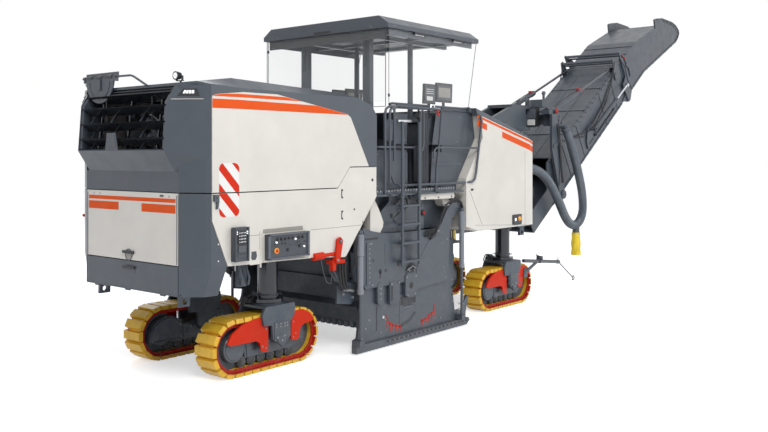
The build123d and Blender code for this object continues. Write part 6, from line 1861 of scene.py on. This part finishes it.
def make_head_trim():
    """Knee frames, cross bars, tail slots, bolts and ribs of the folding head."""
    trim = Piece("discharge_head_trim", "discharge_head", "grey_paint", "slate")
    for trim.flip in SIDES:
        plate = laid(along, (3.845, 1.04), (3.912, 0.985), (4.093, 0.689), (4.03, 0.1), (3.985, 0.02),
            (3.9, 0.3), (3.92, 0.62), (3.8, 0.86), (3.79, 1.04))
        trim.prism(plate, 0.6315, 0.646)
        trim.prism(laid(along, (3.86, 0.5), (4.02, 0.5), (4.06, 0.74), (3.93, 0.9), (3.83, 0.86)),
            WALL_Y - SUNK, 0.632)
        wall = (WALL_Y - SUNK, WALL_Y + 0.013)
        trim.prism(strip(along, 4.04, KNEE_U, BELT_V, 0.038), *wall)
        trim.prism(laid(ahead, (0, 0), (HEAD, 0), (HEAD, 0.036), (0.0, 0.036)), *wall)
        trim.prism(laid(ahead, (1.02, 0.7), (1.07, 0.7), (1.11, 0.88), (1.06, 0.9)), *wall)
        # rolled rim round the throwing end
        rim = laid(ahead, (1.22, 0.875), (1.55, 0.775), (2.12, 0.508), (2.31, 0.37), (2.44, 0.21),
            (2.435, 0.135), (2.34, 0.068), (2.15, 0.01))
        trim.route(WALL_Y + 0.006, rim, 0.012)
        # slots through the throwing end, drawn as black films: painted shade
        trim.paint("black")
        for u, v, turn, length in ((1.62, 0.7, -25, 0.13), (1.8, 0.615, -25, 0.15), (2.02, 0.5, -28, 0.15),
                (2.17, 0.395, -38, 0.1), (2.28, 0.295, -55, 0.08), (2.335, 0.2, -85, 0.06),
                (2.29, 0.115, -140, 0.07), (2.18, 0.06, -165, 0.08)):
            along_way = Vector((math.cos(math.radians(turn)), math.sin(math.radians(turn))))
            across = Vector((-along_way.y, along_way.x)) * 0.024
            along_way *= length / 2
            slot = [along_way + across, -along_way + across, -along_way - across, along_way - across]
            trim.plate(WALL_Y, 0.002, [ahead(u + c.x, v + c.y) for c in slot])
        # slots in the knee frame and the hole in the ear, as black films: painted shade inside them
        for u, v in ((3.985, 0.34), (3.995, 0.5), (4.01, 0.66)):
            trim.disc(*along(u, v), (0.645, 0.6475), 0.026, 16, cut=FILM_CUT)
        trim.disc(*ahead(1.1, 0.82), (WALL_Y - 0.016, WALL_Y + 0.0025), 0.035, 20, cut=FILM_CUT)
        trim.paint("steel").bolts(WALL_Y, 0.01, *laid(ahead, (1.3, 0.8), (1.52, 0.7), (1.25, 0.6),
            (1.72, 0.6), (1.45, 0.45), (1.95, 0.42), (0.9, 0.62), (0.55, 0.6), (0.3, 0.56), (2.1, 0.28),
            (0.7, 0.1), (1.2, 0.1), (1.7, 0.1)))
        trim.paint("chain_red")
        for u, v in ((3.9, 0.9), (3.95, 0.8)):
            trim.disc(*along(u, v), (0.646, 0.664), 0.02, 14)
        trim.paint("black").route(0.655, laid(along, (3.86, 0.92), (3.97, 0.8), (3.96, 0.62), (4.04, 0.52),
            (4.02, 0.34)), 0.011)
        trim.paint("slate")
    for u, v, size in ((3.83, 1.005, 0.028), (3.92, 0.9, 0.022)):
        trim.disc(*along(u, v), (-0.632, 0.632), size, 16)
    # ribs over the cover and rollers at the end
    for u in (4.25, 4.62):
        trim.prism(strip(along, u, u + 0.06, COVER_V - 0.001, 0.012), -0.575, 0.575)
    for k in range(4):
        u = 4.1 + k * 0.25
        trim.prism(strip(along, u, u + 0.05, BELT_V - 0.026, 0.027), -0.57, 0.57)
    for k in range(5):
        u = 0.2 + k * 0.42
        trim.prism(laid(ahead, (u, -0.026), (u + 0.05, -0.026), (u + 0.05, 0.001), (u, 0.001)), -0.57, 0.57)
    trim.done(0.002)
    belt = Piece("throw_flap", "discharge_head", "pads", "rubber")
    for k in range(9):
        y0, y1 = -0.555 + k * 0.1235, -0.555 + (k + 1) * 0.1235 - 0.006
        outline = laid(ahead, (1.98, 0.515), (2.16, 0.425), (2.3, 0.31), (2.33, 0.2), (2.318, 0.198),
            (2.288, 0.3), (2.15, 0.412), (1.975, 0.502))
        belt.prism(outline, y0, y1)
    belt.done(0.002)


make_head_trim()


def make_cylinder_trim():
    """Collars, caps and hose unions of the lifting and folding cylinders."""
    (x0, z0), (x1, z1) = along(1.806, 0.345), along(3.68, 0.3)
    for body, base, eye, size, length in (
            ("lift_barrels", Vector((1.245, 0.535, 3.385)), Vector((3.895, 0.535, 4.42)), 0.048, 1.27),
            ("fold_barrels", Vector((x0, 0.7, z0)), Vector((x1, 0.7, z1)), 0.042, 1.24)):
        trim = Piece(f"{body}_trim", body, "grey_paint", "slate")
        way = (eye - base).normalized()

        def collar(start, end, radius, sides, cut):
            trim.bar(base + way * start, base + way * end, radius, sides, cut=cut)

        for trim.flip in SIDES:
            trim.paint("slate")
            if body == "fold_barrels":
                collar(0.08, 0.13, size + 0.007, 22, 0.004)
                collar(length - 0.1, length - 0.02, size + 0.006, 22, 0.004)
                trim.paint("steel")
                collar(length - 0.02, length, size - 0.004, 22, 0.003)
                continue
            collar(0.1, 0.16, size + 0.009, 24, 0.005)
            collar(length - 0.14, length - 0.03, size + 0.008, 24, 0.005)
            trim.paint("chain_red")
            collar(length - 0.03, length, size + 0.004, 24, 0.004)
            x, z = base.x + way.x * 1.12, base.z + way.z * 1.12 + size
            trim.box((x - 0.03, x + 0.03), (base.y - 0.03, base.y + 0.03), (z - 0.004, z + 0.038))
            hose = (0.12, 0.0), (0.45, 0.012), (0.85, 0.01), (1.1, 0.0)
            trim.paint("rubber").tube([base + way * reach + Vector((-0.02, 0, 0.055 + rise))
                for reach, rise in hose], 0.009, 8)
        trim.done(0.0)


make_cylinder_trim()


def make_dust_hose():
    """Ribbed extraction hose from the front body round to the tower, with its yellow outlet sleeve."""
    curve = bpy.data.curves.new("dust_hose_route", "CURVE")
    curve.dimensions = "3D"
    y = -0.79
    places = [(-0.64, 2.33), (-0.26, 2.33), (0.22, 2.28), (0.62, 2.08), (0.98, 1.72), (1.26, 1.36),
        (1.52, 1.2), (1.8, 1.22), (2.0, 1.42), (1.985, 1.75), (1.86, 2.1), (1.55, 2.68), (1.25, 3.08)]
    line = curve.splines.new("NURBS")
    line.points.add(len(places) - 1)
    for point, (x, z) in zip(line.points, places):
        point.co = (x, y, z, 1.0)
    line.order_u = 3
    line.use_endpoint_u = True
    curve.resolution_u = 24
    holder = bpy.data.objects.new("dust_hose_route", curve)
    route = [vertex.co.copy() for vertex in bpy.data.meshes.new_from_object(holder).vertices]
    bpy.data.objects.remove(holder)
    # walk the route in even steps, a rib every second one
    step, walked, spots = 0.011, 0.0, [route[0]]
    for start, end in zip(route, route[1:]):
        gap = (end - start).length
        while walked + gap >= step * len(spots):
            share = (step * len(spots) - walked) / gap
            spots.append(start.lerp(end, share))
        walked += gap
    hose = Piece("ribbed_dust_hose", None, "hose", "hose")
    rings = []
    for k, spot in enumerate(spots):
        way = (spots[min(k + 1, len(spots) - 1)] - spots[max(k - 1, 0)]).normalized()
        level = Vector(OUT)
        up = way.cross(level).normalized()
        size = 0.083 if k % 2 else 0.0755
        rings.append([spot + (level * math.cos(t) + up * math.sin(t)) * size for t in turns_of(22)])
    hose.rings(rings)
    # outlet pipe under the lowest bend
    hose.paint("slate").post(1.7, y, (0.96, 1.2), 0.068, 26, cut=0.006)
    hose.post(1.7, y, (1.0, 1.03), 0.074, 26, cut=0.004)
    made = hose.done(0.0)
    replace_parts(made, "dust_hose")
    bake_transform(made)
    sleeve = Piece("outlet_sleeve", None, "pads", "sleeve")
    rings = []
    for k in range(26):
        # round at its collar, flatter and wavy below
        flat = min(1.0, k / 14.0)
        ring = []
        for t in turns_of(40):
            wave_x = 1 + 0.05 * math.sin(5 * t + 0.3 * k) * flat
            wave_y = 1 + 0.09 * math.sin(4 * t + 0.5 * k) * flat
            ring.append((1.7 + math.cos(t) * (0.08 + 0.022 * flat) * wave_x,
                y + math.sin(t) * (0.08 + 0.004 * flat) * wave_y, 1.06 - 0.43 * k / 25))
        rings.append(ring)
    sleeve.rings(rings)
    sleeve.paint("steel").torus((1.7, y, 1.035), (0, 0, 1), 0.081, 0.004, 30, 6)
    made = sleeve.done(0.0)
    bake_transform(made)
    clamps = Piece("hose_clamps", "swivel_tower", "steel", "slate")
    clamps.torus((1.285, y, 3.035), (spots[-1] - spots[-8]), 0.086, 0.01, 28, 8)
    clamps.box((1.2, 1.3), (-0.8, -0.66), (3.06, 3.1))
    clamps.done(0.0)
    foot = Piece("hose_collar", "chassis", "steel", "slate")
    foot.beam((-0.66, -0.6), y, 2.33, 0.098, 30, cut=0.008)
    foot.done(0.0)


make_dust_hose()


# ---------------------------------------------------------------- setting


def make_floor():
    size = 120.0
    mesh = bpy.data.meshes.new("floor")
    mesh.from_pydata([(-size, -size, 0), (size, -size, 0), (size, size, 0), (-size, size, 0)], [],
        [(0, 1, 2, 3)])
    floor = bpy.data.objects.new("floor", mesh)
    floor.location.z = -0.002
    scene.collection.objects.link(floor)
    n = Nodes("pale_floor")
    n.give("Base Color", colour(0.86, 0.86, 0.865))
    n.give("Roughness", 0.6)
    n.give("Specular IOR Level", 0.15)
    path = n.add("ShaderNodeLightPath")
    seen = n.math("MAXIMUM", path.outputs["Is Camera Ray"], path.outputs["Is Glossy Ray"])
    seen = n.math("MAXIMUM", seen, path.outputs["Is Transmission Ray"])
    n.give("Emission Color", colour(1.0, 1.0, 1.0))
    n.give("Emission Strength", n.math("MULTIPLY", seen, 0.55))
    mesh.materials.append(n.material)


def make_world():
    world = bpy.data.worlds.new("world")
    world.use_nodes = True
    tree = world.node_tree
    tree.nodes.clear()

    def add(kind, *sources, **values):
        """Node with plain values, its first inputs fed by other nodes' outputs."""
        made = tree.nodes.new(kind)
        for name, value in values.items():
            made.inputs[name].default_value = value
        for socket, source in zip(made.inputs, sources):
            tree.links.new(source, socket)
        return made

    # a lens sees plain white, the machine is lit by a softer sky
    path = add("ShaderNodeLightPath").outputs
    rays = path["Is Camera Ray"]
    for name in ("Is Glossy Ray", "Is Transmission Ray"):
        either = add("ShaderNodeMath", rays, path[name])
        either.operation = "MAXIMUM"
        rays = either.outputs[0]
    seen = add("ShaderNodeBackground", Color=colour(1.0, 1.0, 1.0), Strength=1.0)
    light = add("ShaderNodeBackground", Color=colour(0.93, 0.96, 1.0), Strength=0.5)
    mix = add("ShaderNodeMixShader", rays, light.outputs[0], seen.outputs[0])
    add("ShaderNodeOutputWorld", mix.outputs[0])
    scene.world = world


def make_lamp(name, place, size, power):
    data = bpy.data.lights.new(name, "AREA")
    data.shape = "DISK"
    data.size = size
    data.energy = power
    lamp = bpy.data.objects.new(name, data)
    lamp.location = place
    lamp.rotation_euler = (Vector((0.0, 0.0, 1.8)) - Vector(place)).to_track_quat("-Z", "Y").to_euler()
    scene.collection.objects.link(lamp)


make_floor()
make_world()
make_lamp("key_lamp", (-14.0, -13.0, 15.0), 8.0, 2000.0)
make_lamp("side_lamp", (4.0, -17.0, 9.0), 8.0, 1000.0)
make_lamp("fill_lamp", (2.0, 15.0, 12.0), 10.0, 700.0)
